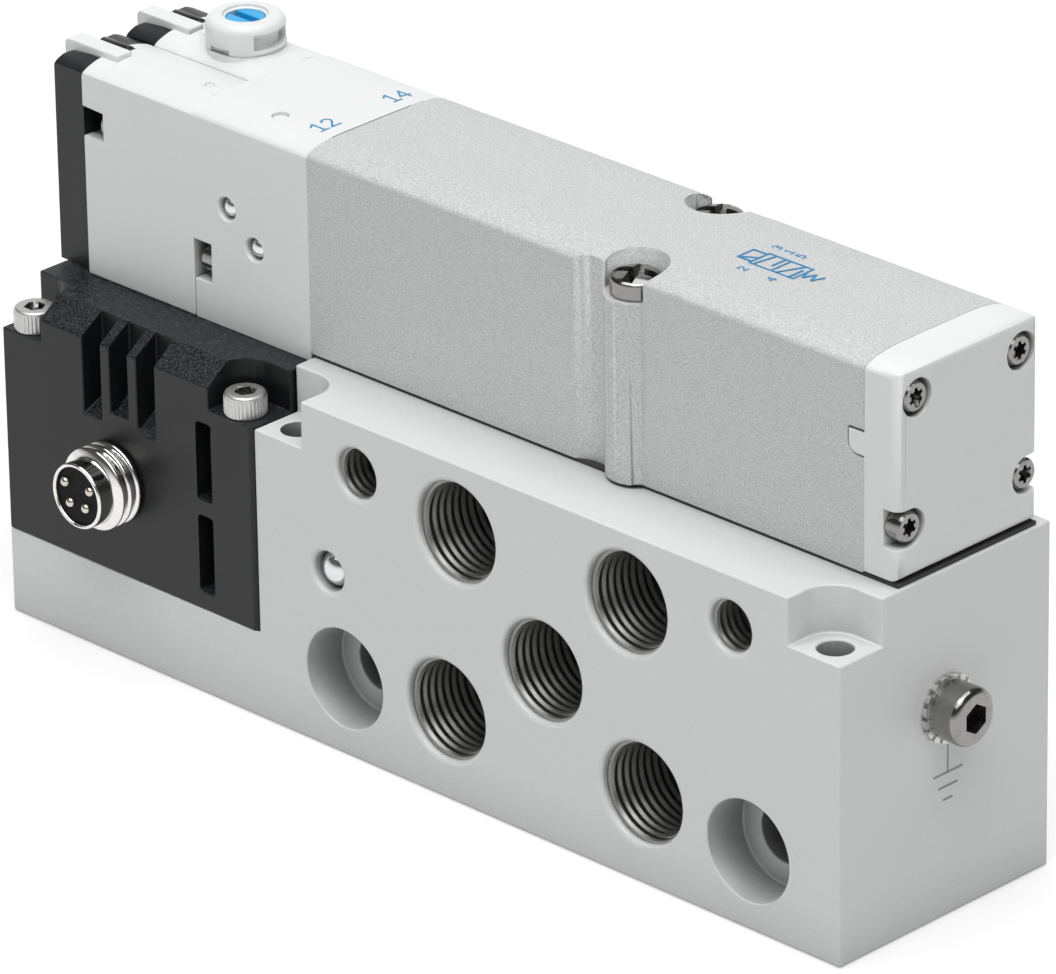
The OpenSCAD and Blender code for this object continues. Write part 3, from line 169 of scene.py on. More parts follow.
class StageSettings(bpy.types.PropertyGroup):
    azimuth: bpy.props.FloatProperty(
        name="Azimuth", description="Angle of the camera round the valve", subtype="ANGLE",
        default=math.radians(44.9145)
    )
    elevation: bpy.props.FloatProperty(
        name="Elevation", description="Angle of the camera above the floor", subtype="ANGLE",
        default=math.radians(24.9556)
    )
    roll: bpy.props.FloatProperty(
        name="Roll", description="Turn of the camera about its own axis", subtype="ANGLE",
        default=math.radians(-0.9129)
    )
    distance: length("Distance", "Distance of the camera from the point it looks at", 847.1655)
    lens: bpy.props.FloatProperty(
        name="Focal length", description="Focal length in millimetres on a 36 mm wide sensor",
        default=321.55, min=10
    )
    overhead: power("Overhead lamp", "Power of the large lamp overhead", 10.2)
    front: power("Front lamp", "Power of the lamp above the ports", 3.0)
    right: power("Right lamp", "Power of the lamp above the camera", 4.05)
    back: power("Back lamp", "Power of the lamp that grazes the top from behind", 2.4)
    horizon: bpy.props.FloatProperty(
        name="Horizon", description="Brightness of the pale backdrop at the horizon", default=1.0, min=0
    )
    room: bpy.props.FloatProperty(
        name="Room", description="Brightness of the room overhead", default=0.08, min=0
    )
    glow: bpy.props.FloatProperty(
        name="Floor glow", description="How much whiter the floor looks than it is lit", default=0.5, min=0
    )


def sizes():
    return bpy.context.scene.valve_sizes


def colours():
    return bpy.context.scene.valve_colours


# Materials


def add(tree, kind, values=None, **settings):
    """Adds a node. Settings are its own properties, and values are numbers or links for its sockets."""
    made = tree.nodes.new(kind)
    for key, value in settings.items():
        setattr(made, key, value)
    for socket, value in (values or {}).items():
        if isinstance(value, bpy.types.NodeSocket):
            tree.links.new(value, made.inputs[socket])
        else:
            made.inputs[socket].default_value = value
    return made


def shade_of(base, share):
    """The same colour, lighter or darker by a share."""
    return [min(1, max(0, c * share)) for c in base[:3]] + [1]


def start(name):
    """A new material with its shader, its output and its place in millimetres."""
    material = bpy.data.materials.new(name)
    material.use_nodes = True
    tree = material.node_tree
    tree.nodes.clear()
    place = add(tree, "ShaderNodeTexCoord").outputs["Object"]
    place = add(tree, "ShaderNodeMapping", {"Vector": place, "Scale": (1000, 1000, 1000)}).outputs[0]
    shader = add(tree, "ShaderNodeBsdfPrincipled")
    add(tree, "ShaderNodeOutputMaterial", {"Surface": shader.outputs[0]})
    return material, tree, place, shader


def grained(name, base, grain, dark=0.93, light=1.05, rough=(0.4, 0.5), height=0.01, low=0.35, high=0.65,
            metallic=0.0, broad=0.0, painted_crevice_shade=None, **uniform):
    """A surface with fine grain in millimetres: colour, roughness and relief all follow the same noise."""
    material, tree, place, shader = start(name)
    noise = add(tree, "ShaderNodeTexNoise", {
        "Vector": place, "Scale": 1 / grain, "Detail": 3.0, "Roughness": 0.6})
    fac = noise.outputs["Fac"]
    ramp = add(tree, "ShaderNodeValToRGB", {"Fac": fac})
    ramp.color_ramp.elements[0].position = low
    ramp.color_ramp.elements[0].color = shade_of(base, dark)
    ramp.color_ramp.elements[1].position = high
    ramp.color_ramp.elements[1].color = shade_of(base, light)
    shades = []
    if broad:
        cloud = add(tree, "ShaderNodeTexNoise", {"Vector": place, "Scale": 0.12, "Detail": 2.0})
        shades.append(add(tree, "ShaderNodeMapRange", {"Value": cloud.outputs["Fac"], "From Min": 0.3,
                                                       "From Max": 0.7, "To Min": 1 - broad, "To Max": 1.0}))
    if painted_crevice_shade:
        # Painted shade: an ambient occlusion node darkens the colour in deep recesses, which have little open
        # room near them
        reach, dark_share = painted_crevice_shade
        flat = add(tree, "ShaderNodeNewGeometry").outputs["True Normal"]
        room = add(tree, "ShaderNodeAmbientOcclusion", {"Distance": reach * MM, "Normal": flat}, samples=4)
        shades.append(add(tree, "ShaderNodeMapRange", {"Value": room.outputs["AO"], "From Min": 0.0,
                                                       "From Max": 0.5, "To Min": dark_share, "To Max": 1.0}))
    tint = ramp.outputs[0]
    for shade in shades:
        mixed = add(tree, "ShaderNodeMix", {"Factor": 1.0}, data_type="RGBA", blend_type="MULTIPLY")
        tree.links.new(tint, mixed.inputs[6])
        tree.links.new(shade.outputs[0], mixed.inputs[7])
        tint = mixed.outputs[2]
    tree.links.new(tint, shader.inputs["Base Color"])
    span = add(tree, "ShaderNodeMapRange", {"Value": fac, "From Min": 0.3, "From Max": 0.7,
                                            "To Min": rough[0], "To Max": rough[1]})
    tree.links.new(span.outputs[0], shader.inputs["Roughness"])
    if height:
        bump = add(tree, "ShaderNodeBump", {"Height": fac, "Strength": 1.0, "Distance": height * MM})
        tree.links.new(bump.outputs[0], shader.inputs["Normal"])
    shader.inputs["Metallic"].default_value = metallic
    for socket, value in uniform.items():
        shader.inputs[socket.replace("_", " ")].default_value = value
    return material


def finish(name):
    """The finished material of that name, made when it is first asked for."""
    found = bpy.data.materials.get(name)
    if found:
        return found
    c = colours()
    # The crevice shade values (reach in millimetres, darkest share of the colour) paint shade into the
    # recesses of a finish
    recipes = {
        # Glass-bead blasting gives a fine, even, silky grey with no tool marks
        "blasted_anodised_aluminium": lambda: grained(
            name, c.blasted, 0.14, 0.97, 1.02, (0.5, 0.58), 0.003, metallic=0.1, broad=0.01,
            painted_crevice_shade=(12, 0.04)),
        # Shot blasting a casting leaves a coarser grain that sparkles light and dark
        "blasted_die_cast_aluminium": lambda: grained(
            name, c.cast, 0.14, 0.7, 1.24, (0.42, 0.56), 0.016, 0.32, 0.68, metallic=0.12, painted_crevice_shade=(4, 0.4)),
        # Threads are cut after anodising and show bare, oiled metal; their colour is also darker than bare
        # aluminium, which paints shade inside the bores
        "cut_aluminium_thread": lambda: grained(
            name, linear("8F8F8D"), 0.2, 0.85, 1.05, (0.34, 0.44), 0.003, metallic=0.9, painted_crevice_shade=(4, 0.3)),
        # Turning leaves bright, slightly streaked metal
        "turned_aluminium": lambda: grained(
            name, linear("CFD0D2"), 0.3, 0.9, 1.05, (0.2, 0.3), 0.002, metallic=1.0),
        # Zinc plating is bright with soft reflections
        "zinc_plated_steel": lambda: grained(
            name, c.zinc, 0.35, 0.8, 1.08, (0.13, 0.24), 0.004, metallic=1.0, painted_crevice_shade=(0.5, 0.3)),
        # Painted shade: the punched recess of a plated screw is coloured dark for the shade inside it
        "painted_shade_steel_recess": lambda: grained(
            name, linear("5C5C5A"), 0.16, 0.45, 1.9, (0.3, 0.5), 0.012, 0.4, 0.62, metallic=1.0),
        # Painted shade: the pressed sockets of the knurled screws are coloured darker than their plating,
        # though brighter than the punched recesses
        "painted_shade_steel_socket": lambda: grained(
            name, linear("989896"), 0.25, 0.6, 1.2, (0.18, 0.3), 0.008, metallic=1.0),
        # A thicker, darker plating on the screws of the valve and the ground screw
        "dark_plated_steel": lambda: grained(
            name, linear("949390"), 0.6, 0.9, 1.05, (0.13, 0.2), 0.002, metallic=1.0, painted_crevice_shade=(0.5, 0.3)),
        # Hardened balls are polished
        "bearing_steel": lambda: grained(
            name, linear("DADADA"), 0.8, 0.97, 1.0, (0.06, 0.1), 0, metallic=1.0),
        # Nickel plating over brass is bright with a warm tone
        "nickel_plated_brass": lambda: grained(
            name, c.nickel, 0.6, 0.92, 1.02, (0.08, 0.15), 0.001, metallic=1.0),
        # A thin pale gold layer on the contacts
        "gold_plated_brass": lambda: grained(
            name, linear("CFCBC0"), 0.5, 0.94, 1.03, (0.14, 0.22), 0.001, metallic=1.0),
        # The faces that leave the mould straight are smooth and satin
        "moulded_black_nylon": lambda: grained(
            name, c.black, 0.5, 0.9, 1.15, (0.34, 0.44), 0.004, IOR=1.41),
        # Spark erosion of the mould's floor speckles the upper faces with light grains
        "spark_eroded_black_nylon": lambda: grained(
            name, c.black, 0.2, 0.5, 7.5, (0.25, 0.6), 0.05, 0.46, 0.7, IOR=1.41),
        # The covers come from a smoother mould
        "satin_black_nylon": lambda: grained(name, c.cover, 0.3, 0.8, 1.3, (0.32, 0.42), 0.006, IOR=1.41),
        # The contact carrier is matt, so that it stays dark between the pins
        "matt_black_nylon": lambda: grained(
            name, linear("060606"), 0.3, 0.9, 1.2, (0.5, 0.6), 0.003, Specular_IOR_Level=0.15),
        # White polyester from a polished mould is even and slightly translucent
        "moulded_white_polyester": lambda: grained(
            name, c.white, 0.4, 0.985, 1.0, (0.36, 0.42), 0.003, broad=0.01, painted_crevice_shade=(4, 0.12), IOR=1.55),
        # Smoked polycarbonate looks nearly black and glossy
        "smoked_polycarbonate": lambda: grained(
            name, c.smoked, 0.8, 0.95, 1.05, (0.08, 0.14), 0.001, IOR=1.5),
        # Blue acetal is smooth and waxy
        "blue_acetal": lambda: grained(name, c.blue, 0.5, 0.95, 1.04, (0.3, 0.4), 0.002, IOR=1.48),
        # Natural acetal is milky
        "natural_acetal": lambda: grained(
            name, linear("E6E2D6"), 0.5, 0.97, 1.02, (0.32, 0.42), 0.002, IOR=1.48),
        # Nitrile rubber is dull black
        "nitrile_rubber": lambda: grained(
            name, linear("141414"), 0.2, 0.85, 1.3, (0.6, 0.75), 0.006, IOR=1.52),
        # Drawn spring wire has a dark, even shine
        "spring_steel": lambda: grained(
            name, linear("A2A4A6"), 0.3, 0.85, 1.08, (0.25, 0.35), 0.003, metallic=1.0),
        # Soft magnetic steel, ground
        "magnetic_steel": lambda: grained(
            name, linear("9DA0A3"), 0.25, 0.88, 1.06, (0.28, 0.4), 0.003, metallic=1.0),
        # Enamelled copper is amber with a clear coat
        "enamelled_copper": lambda: grained(
            name, linear("B4592A"), 0.6, 0.9, 1.08, (0.2, 0.3), 0.001, metallic=1.0, Coat_Weight=0.6),
        # Solder resist over glass cloth, whose weave just shows
        "circuit_board_laminate": lambda: grained(
            name, linear("1F5A38"), 0.6, 0.85, 1.12, (0.25, 0.35), 0.004, IOR=1.5),
        # Pad printing ink is thin and matt
        "blue_pad_ink": lambda: grained(name, c.ink, 0.3, 0.93, 1.05, (0.4, 0.5), 0.002, IOR=1.5),
        # A laser mark in the anodised layer is a little darker and duller
        "laser_marked_aluminium": lambda: grained(
            name, linear("9C9D9C"), 0.2, 0.9, 1.05, (0.6, 0.7), 0.002, metallic=0.3),
    }
    return recipes[name]()


# Meshes


def to_object(name, mesh, material, body, replaced=()):
    """Puts a finished mesh on its CAD body, with its material."""
    mesh.name = name
    if not mesh.materials:
        mesh.materials.append(finish(material))
    made = bpy.data.objects.new(name, mesh)
    bpy.context.scene.collection.objects.link(made)
    if replaced:
        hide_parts(*replaced)
    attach(made, body)
    return made


def settle(mesh, angle=38):
    """Smooth shading that stops at sharp edges, with flat faces kept flat."""
    mesh.shade_smooth()
    mesh.set_sharp_from_angle(angle=math.radians(angle))
    return mesh


def copy_of(node):
    """A merged copy of a CAD node, with its flat faces whole again."""
    form = bmesh.new()
    form.from_mesh(frame["nodes"][node].data)
    bmesh.ops.remove_doubles(form, verts=form.verts, dist=MERGE_GAP)
    bmesh.ops.dissolve_limit(form, angle_limit=FLAT_TURN, verts=form.verts, edges=form.edges)
    form.normal_update()
    return form


def gap_to(point, edge):
    """The distance of a point from an edge."""
    start, end = (v.co for v in edge.verts)
    at, share = intersect_point_line(point, start, end)
    return (point - start.lerp(end, min(1, max(0, share)))).length


def smooth_run(face, edge, width):
    """The edges of a face that carry an edge on in a gentle curve close to it, and the length
    that this edge loses when it is moved inwards by the width."""
    run = set()
    lost = 0.0
    first = next(loop for loop in face.loops if loop.edge is edge)
    for forward in (True, False):
        loop = first
        walked = 0.0
        while walked < RUN_WIDTHS * width:
            near = loop.link_loop_next if forward else loop.link_loop_prev
            here = loop.link_loop_next.vert.co - loop.vert.co
            there = near.link_loop_next.vert.co - near.vert.co
            turn = here.angle(there, math.pi)
            if turn > GENTLE_TURN or near.edge in run or near.edge is edge:
                break
            if loop is first:
                bend = here.cross(there) if forward else there.cross(here)
                lost += math.copysign(width * math.tan(turn / 2), bend.dot(face.normal))
            run.add(near.edge)
            walked += there.length
            loop = near
    return run, lost


def clear_beside(face, edge, width):
    """True if no other edge of the face is nearer than the width of the rounding."""
    start, end = (v.co for v in edge.verts)
    along = (end - start).normalized()
    run, lost = smooth_run(face, edge, width)
    if (end - start).length < lost * CLEARANCE:
        return False
    for other in face.edges:
        if other is edge or other in run:
            continue
        meets = set(edge.verts) & set(other.verts)
        for vert in other.verts:
            done = (vert.co - start).dot(along)
            inside = -width < done < (end - start).length + width
            if vert not in edge.verts and inside and gap_to(vert.co, edge) < width * CLEARANCE:
                lies = (other.verts[0].co - other.verts[1].co).normalized()
                if not meets or abs(lies.dot(along)) < NEARLY_STRAIGHT:
                    return False
        if not meets and min(gap_to(v.co, other) for v in edge.verts) < width * CLEARANCE:
            return False
    return True


def roomy(edge, chosen, width):
    """True if the edges that meet an edge are long enough for it to be rounded.
    A rounding that ends slides along its neighbours, and further along those that are nearly in line."""
    for corner in edge.verts:
        along = (edge.other_vert(corner).co - corner.co).normalized()
        for other in corner.link_edges:
            if other is edge:
                continue
            turn = other.other_vert(corner).co - corner.co
            straight = min(1, abs(turn.normalized().dot(along)))
            beside = set(other.link_faces) & set(edge.link_faces)
            if other in chosen and straight < NEARLY_STRAIGHT and turn.length < width * CORNER_ROOM:
                return False
            slope = max(math.sqrt(1 - straight ** 2), 0.02)
            if other not in chosen and beside and turn.length < width * SLIDE_ROOM / slope:
                return False
    return True


def round_edges(form, width, segments=2, least=38):
    """Rounds the sharp edges that have room for it."""
    sharp = math.radians(least)
    chosen = {e for e in form.edges if len(e.link_faces) == 2 and abs(e.calc_face_angle(0)) > sharp}
    chosen = {e for e in chosen if all(clear_beside(face, e, width) for face in e.link_faces)}
    before = None
    while before != len(chosen):
        before = len(chosen)
        chosen = {e for e in chosen if roomy(e, chosen, width)}
    if chosen:
        bmesh.ops.bevel(form, geom=list(chosen), offset=width, offset_type="OFFSET", segments=segments,
                        profile=0.5, affect="EDGES", clamp_overlap=False, loop_slide=True)
    form.normal_update()


def dress(node, material, width=0, segments=2, least=38, crisp=38, other=None, picks=None):
    """Replaces a CAD node by its own shape with rounded edges and a finish.
    The faces that picks returns get the other finish."""
    form = copy_of(node)
    if width:
        round_edges(form, width, segments, least)
    mesh = bpy.data.meshes.new(node)
    if other:
        mesh.materials.append(finish(material))
        mesh.materials.append(finish(other))
        for face in picks(form):
            face.material_index = 1
    form.to_mesh(mesh)
    form.free()
    settle(mesh, crisp)
    made = to_object(node + "_finished", mesh, material, frame["nodes"][node]["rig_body"], [node])
    weigh = made.modifiers.new("Flat faces stay flat", "WEIGHTED_NORMAL")
    weigh.keep_sharp = True
    weigh.weight = FLATNESS_WEIGHT
    return made


def solids(form):
    """The separate solids of a mesh, each as a list of its points."""
    left = set(form.verts)
    while left:
        group = [left.pop()]
        for vert in group:
            near = {e.other_vert(vert) for e in vert.link_edges} & left
            left -= near
            group.extend(near)
        yield group


def recess_faces(form, axis, reach, depth):
    """The faces inside the recess of each screw head, which get the painted shade. The head looks along the
    axis, 0 for X and 2 for Z.
    """
    across = [i for i in range(3) if i != axis]
    found = []
    for group in solids(form):
        top = max(v.co[axis] for v in group)
        middle = [(max(v.co[i] for v in group) + min(v.co[i] for v in group)) / 2 for i in across]
        for face in {f for v in group for f in v.link_faces}:
            sunk = [top - v.co[axis] for v in face.verts]
            off = [math.hypot(v.co[across[0]] - middle[0], v.co[across[1]] - middle[1]) for v in face.verts]
            if max(off) < reach * MM and 0.05 * MM < max(sunk) < depth * MM:
                found.append(face)
    return found


def upper_faces(form):
    """The faces that look upwards."""
    return [f for f in form.faces if f.normal.z > 0.3]


def lathe(profile, place, steps=72):
    """A solid turned about an upright axis. The profile runs up the axis from its lower end."""
    form = bmesh.new()
    ends = [form.verts.new((place[0] * MM, place[1] * MM, z * MM)) for r, z in (profile[0], profile[-1])]
    rings = []
    for r, z in profile[1:-1]:
        rings.append([form.verts.new(((place[0] + r * math.cos(i * math.tau / steps)) * MM,
                                      (place[1] + r * math.sin(i * math.tau / steps)) * MM, z * MM))
                      for i in range(steps)])
    for i in range(steps):
        j = (i + 1) % steps
        form.faces.new((ends[0], rings[0][j], rings[0][i]))
        form.faces.new((ends[1], rings[-1][i], rings[-1][j]))
        for low, high in zip(rings, rings[1:]):
            form.faces.new((low[i], low[j], high[j], high[i]))
    return form


def as_holder(form):
    """A plain object for a mesh that is still being made."""
    mesh = bpy.data.meshes.new("part")
    form.to_mesh(mesh)
    form.free()
    holder = bpy.data.objects.new("part", mesh)
    bpy.context.scene.collection.objects.link(holder)
    return holder


def cut_away(form, cutters):
    """Cuts some solids out of another and returns what is left as a mesh form."""
    holder = as_holder(form)
    tools = [as_holder(cutter) for cutter in cutters]
    for tool in tools:
        cut = holder.modifiers.new("Cut", "BOOLEAN")
        cut.operation = "DIFFERENCE"
        cut.solver = "EXACT"
        cut.object = tool
    mesh = bpy.data.meshes.new_from_object(holder.evaluated_get(bpy.context.evaluated_depsgraph_get()))
    for old in [holder, *tools]:
        bpy.data.objects.remove(old)
    left = bmesh.new()
    left.from_mesh(mesh)
    left.normal_update()
    return left


def wedge(place, angle, z_top, half_top, z_low, half_low, thick):
    """One wing of a cross recess: a tapered blade that stands on its narrow end."""
    form = bmesh.new()
    turn = Matrix.Rotation(math.radians(angle), 3, "Z")
    rings = []
    for z, half, t in ((z_low, half_low, thick * 0.7), (z_top, half_top, thick)):
        corners = [(-half, -t / 2), (half, -t / 2), (half, t / 2), (-half, t / 2)]
        foot = Vector((*place, z))
        rings.append([form.verts.new((foot + turn @ Vector((x, y, 0))) * MM) for x, y in corners])
    form.faces.new(rings[0][::-1])
    form.faces.new(rings[1])
    for i in range(4):
        j = (i + 1) % 4
        form.faces.new((rings[0][i], rings[0][j], rings[1][j], rings[1][i]))
    return form


# Geometry Nodes


def new_rule(name, inputs):
    """A Geometry Nodes tree with named inputs. Returns the tree, its input node and its output node."""
    tree = bpy.data.node_groups.new(name, "GeometryNodeTree")
    tree.interface.new_socket("Geometry", in_out="INPUT", socket_type="NodeSocketGeometry")
    tree.interface.new_socket("Geometry", in_out="OUTPUT", socket_type="NodeSocketGeometry")
    for label, kind in inputs.items():
        tree.interface.new_socket(label, in_out="INPUT", socket_type="NodeSocket" + kind)
    return tree, add(tree, "NodeGroupInput"), add(tree, "NodeGroupOutput")


def set_out(tree, entry, leave, shape):
    """Places the shape on every point of the base, makes it real and gives it its material."""
    placed = add(tree, "GeometryNodeInstanceOnPoints", {
        "Points": entry.outputs["Geometry"], "Instance": shape, "Rotation": entry.outputs["Turn"]})
    real = add(tree, "GeometryNodeRealizeInstances", {"Geometry": placed.outputs[0]})
    done = add(tree, "GeometryNodeSetMaterial", {
        "Geometry": real.outputs[0], "Material": entry.outputs["Material"]})
    tree.links.new(done.outputs[0], leave.inputs[0])


def helix_rule():
    """A wire of oval section wound on a cylinder, tapered to a point at both ends.
    It makes springs and windings, and the crests of threads when it is half sunk in a wall."""
    name = "Wound wire"
    if name in bpy.data.node_groups:
        return bpy.data.node_groups[name]
    tree, entry, leave = new_rule(name, {
        "Radius": "Float", "Depth": "Float", "Half width": "Float", "Pitch": "Float", "Turns": "Float",
        "Taper": "Float", "Steps": "Int", "Sides": "Int", "Turn": "Rotation", "Material": "Material"})
    got = {socket.name: socket for socket in entry.outputs}
    for name, operation, *parts in [
        ("rows", "MULTIPLY_ADD", "Turns", "Steps", 1.0),
        ("columns", "ADD", "Sides", 1.0),
    ]:
        values = {i: got.get(part, part) for i, part in enumerate(parts)}
        got[name] = add(tree, "ShaderNodeMath", values, operation=operation).outputs[0]
    grid = add(tree, "GeometryNodeMeshGrid", {
        "Size X": 1.0, "Size Y": 1.0, "Vertices X": got["rows"], "Vertices Y": got["columns"]})
    place = add(tree, "ShaderNodeSeparateXYZ", {0: add(tree, "GeometryNodeInputPosition").outputs[0]})
    got["along"] = place.outputs[0]
    got["round"] = place.outputs[1]
    for name, operation, *parts in [
        ("u", "ADD", "along", 0.5),
        ("v", "ADD", "round", 0.5),
        ("turned", "MULTIPLY", "u", "Turns"),
        ("angle", "MULTIPLY", "turned", math.tau),
        ("phase", "MULTIPLY", "v", math.tau),
        ("left", "SUBTRACT", "Turns", "turned"),
        ("near", "MINIMUM", "turned", "left"),
        ("slope", "DIVIDE", "near", "Taper"),
        ("taper", "MINIMUM", "slope", 1.0),
        ("out", "COSINE", "phase"),
        ("deep", "MULTIPLY", "out", "Depth"),
        ("radial", "MULTIPLY_ADD", "deep", "taper", "Radius"),
        ("side", "SINE", "phase"),
        ("wide", "MULTIPLY", "side", "Half width"),
        ("narrowed", "MULTIPLY", "wide", "taper"),
        ("z", "MULTIPLY_ADD", "turned", "Pitch", "narrowed"),
        ("cosine", "COSINE", "angle"),
        ("sine", "SINE", "angle"),
        ("x", "MULTIPLY", "radial", "cosine"),
        ("y", "MULTIPLY", "radial", "sine"),
    ]:
        values = {i: got.get(part, part) for i, part in enumerate(parts)}
        got[name] = add(tree, "ShaderNodeMath", values, operation=operation).outputs[0]
    place = add(tree, "ShaderNodeCombineXYZ", {0: got["x"], 1: got["y"], 2: got["z"]})
    moved = add(tree, "GeometryNodeSetPosition", {"Geometry": grid.outputs[0], "Position": place.outputs[0]})
    closed = add(tree, "GeometryNodeMergeByDistance", {"Geometry": moved.outputs[0], "Distance": 0.001 * MM})
    set_out(tree, entry, leave, closed.outputs[0])
    return tree


def ribs_rule():
    """Narrow ribs round a circle, for knurled heads and toothed washers."""
    name = "Ribs round a rim"
    if name in bpy.data.node_groups:
        return bpy.data.node_groups[name]
    tree, entry, leave = new_rule(name, {
        "Radius": "Float", "Rib radius": "Float", "Rib length": "Float", "Count": "Int",
        "Turn": "Rotation", "Material": "Material"})
    get = entry.outputs
    rim = add(tree, "GeometryNodeMeshCircle", {"Vertices": get["Count"], "Radius": get["Radius"]})
    rib = add(tree, "GeometryNodeMeshCylinder", {
        "Vertices": 8, "Radius": get["Rib radius"], "Depth": get["Rib length"]})
    placed = add(tree, "GeometryNodeInstanceOnPoints", {"Points": rim.outputs[0], "Instance": rib.outputs[0]})
    set_out(tree, entry, leave, add(tree, "GeometryNodeRealizeInstances", {0: placed.outputs[0]}).outputs[0])
    return tree


def follow(tree, points, values, material):
    """Runs a rule on some points and returns the result as a plain mesh."""
    base = bpy.data.meshes.new("points")
    base.from_pydata([Vector(p) * MM for p in points], [], [])
    holder = bpy.data.objects.new("points", base)
    bpy.context.scene.collection.objects.link(holder)
    modifier = holder.modifiers.new("Rule", "NODES")
    modifier.node_group = tree
    for item in tree.interface.items_tree:
        if item.in_out == "INPUT" and item.name in values:
            modifier[item.identifier] = values[item.name]
        if item.in_out == "INPUT" and item.name == "Material":
            modifier[item.identifier] = finish(material)
    graph = bpy.context.evaluated_depsgraph_get()
    mesh = bpy.data.meshes.new_from_object(holder.evaluated_get(graph))
    holder.modifiers.clear()
    bpy.data.objects.remove(holder)
    form = bmesh.new()
    form.from_mesh(mesh)
    bmesh.ops.recalc_face_normals(form, faces=form.faces)
    form.to_mesh(mesh)
    form.free()
    return settle(mesh)


ALONG_X = (0.0, math.pi / 2, 0.0)
ALONG_Y = (-math.pi / 2, 0.0, 0.0)
UPRIGHT = (0.0, 0.0, 0.0)


def wound(points, turn, radius, depth, half, pitch, turns, material, taper=0.25, steps=48, sides=6):
    return follow(helix_rule(), points, {
        "Radius": radius * MM, "Depth": depth * MM, "Half width": half * MM, "Pitch": pitch * MM,
        "Turns": float(turns), "Taper": taper, "Steps": steps, "Sides": sides, "Turn": turn}, material)


# Marks


NUMERALS = {
    "1": [[(0.08, 0.76), (0.38, 1), (0.38, 0)], [(0.1, 0), (0.66, 0)]],
    "2": [[(0.05, 0.78), (0.13, 0.93), (0.32, 1), (0.52, 0.95), (0.63, 0.8), (0.6, 0.64), (0.45, 0.44),
           (0.04, 0), (0.68, 0)]],
    "3": [[(0.05, 0.92), (0.3, 1), (0.55, 0.92), (0.6, 0.76), (0.5, 0.6), (0.28, 0.54), (0.55, 0.46),
           (0.65, 0.26), (0.55, 0.08), (0.3, 0), (0.05, 0.08)]],
    "4": [[(0.52, 0), (0.52, 1), (0.02, 0.3), (0.74, 0.3)]],
    "5": [[(0.6, 1), (0.12, 1), (0.08, 0.56), (0.32, 0.64), (0.56, 0.54), (0.64, 0.32), (0.54, 0.08),
           (0.3, 0), (0.05, 0.08)]],
}


def add_stroke(form, points, width):
    """Adds a thin stroke through some points in plan. Each straight run lies a hair above the one before."""
    for start, end in zip(points, points[1:]):
        start = Vector(start)
        end = Vector(end)
        along = (end - start).normalized()
        side = Vector((-along.y, along.x)) * width / 2
        start -= along * width / 3
        end += along * width / 3
        pieces = max(1, math.ceil((end - start).length / 0.4))
        level = len(form.faces) * 0.0003
        rows = []
        for i in range(pieces + 1):
            at = start.lerp(end, i / pieces)
            rows.append([form.verts.new((*(at + side), level)), form.verts.new((*(at - side), level))])
        for (a, b), (c, d) in zip(rows, rows[1:]):
            form.faces.new((a, b, d, c))


def add_number(form, text, height, x, y, width):
    """Adds a plain number. It reads along Y, with its foot towards the end cap."""
    for place, numeral in enumerate(text):
        for points in NUMERALS[numeral]:
            shift = 0.84 * (place - len(text) / 2)
            add_stroke(form, [(x - (v - 0.5) * height, y + (u + shift) * height) for u, v in points], width)


def circuit_sign():
    """Strokes of the circuit sign in plan: the pilot, two switching boxes and the spring."""
    x0, x1, x2, x3 = 25.9, 27.5, 30.1, 32.7
    y0, y1 = 2.2, 4.8
    half = (y0 + y1) / 2
    spring = [(x3 + 0.5 * i, y0 + 0.7 if i % 2 else y1 - 0.7) for i in range(5)]
    return [
        [(x1, y0), (x3, y0), (x3, y1), (x1, y1), (x1, y0)],
        [(x2, y0), (x2, y1)],
        [(x0, y0 + 0.3), (x1, y0 + 0.3), (x1, y1 - 0.3), (x0, y1 - 0.3), (x0, y0 + 0.3)],
        [(x0, y0 + 0.3), (x1, half)],
        [(x1 + 0.5, y0), (x1 + 0.9, y1)],
        [(x2 - 0.6, y0 + 0.8), (x2 - 0.6, y1)],
        [(x2 + 0.6, y0), (x3 - 0.8, y1)],
        [(x3 - 0.5, y0), (x3 - 0.5, y1 - 0.8)],
        spring,
    ]


def print_on(name, form, node, material):
    """Lays a flat drawing in plan, in millimetres, on the top of a CAD node."""
    for face in form.faces:
        face.normal_update()
        if face.normal.z < 0:
            face.normal_flip()
    source = frame["nodes"][node].data
    surface = BVHTree.FromPolygons(
        [v.co for v in source.vertices], [tuple(p.vertices) for p in source.polygons])
    for vert in form.verts:
        above = Vector((vert.co.x * MM, vert.co.y * MM, 0.1))
        hit = surface.ray_cast(above, Vector((0, 0, -1)))[0]
        vert.co = hit + Vector((0, 0, (MARK_LIFT + vert.co.z) * MM))
    mesh = bpy.data.meshes.new(name)
    form.to_mesh(mesh)
    form.free()
    return to_object(name, mesh, material, "valve")


# Operators


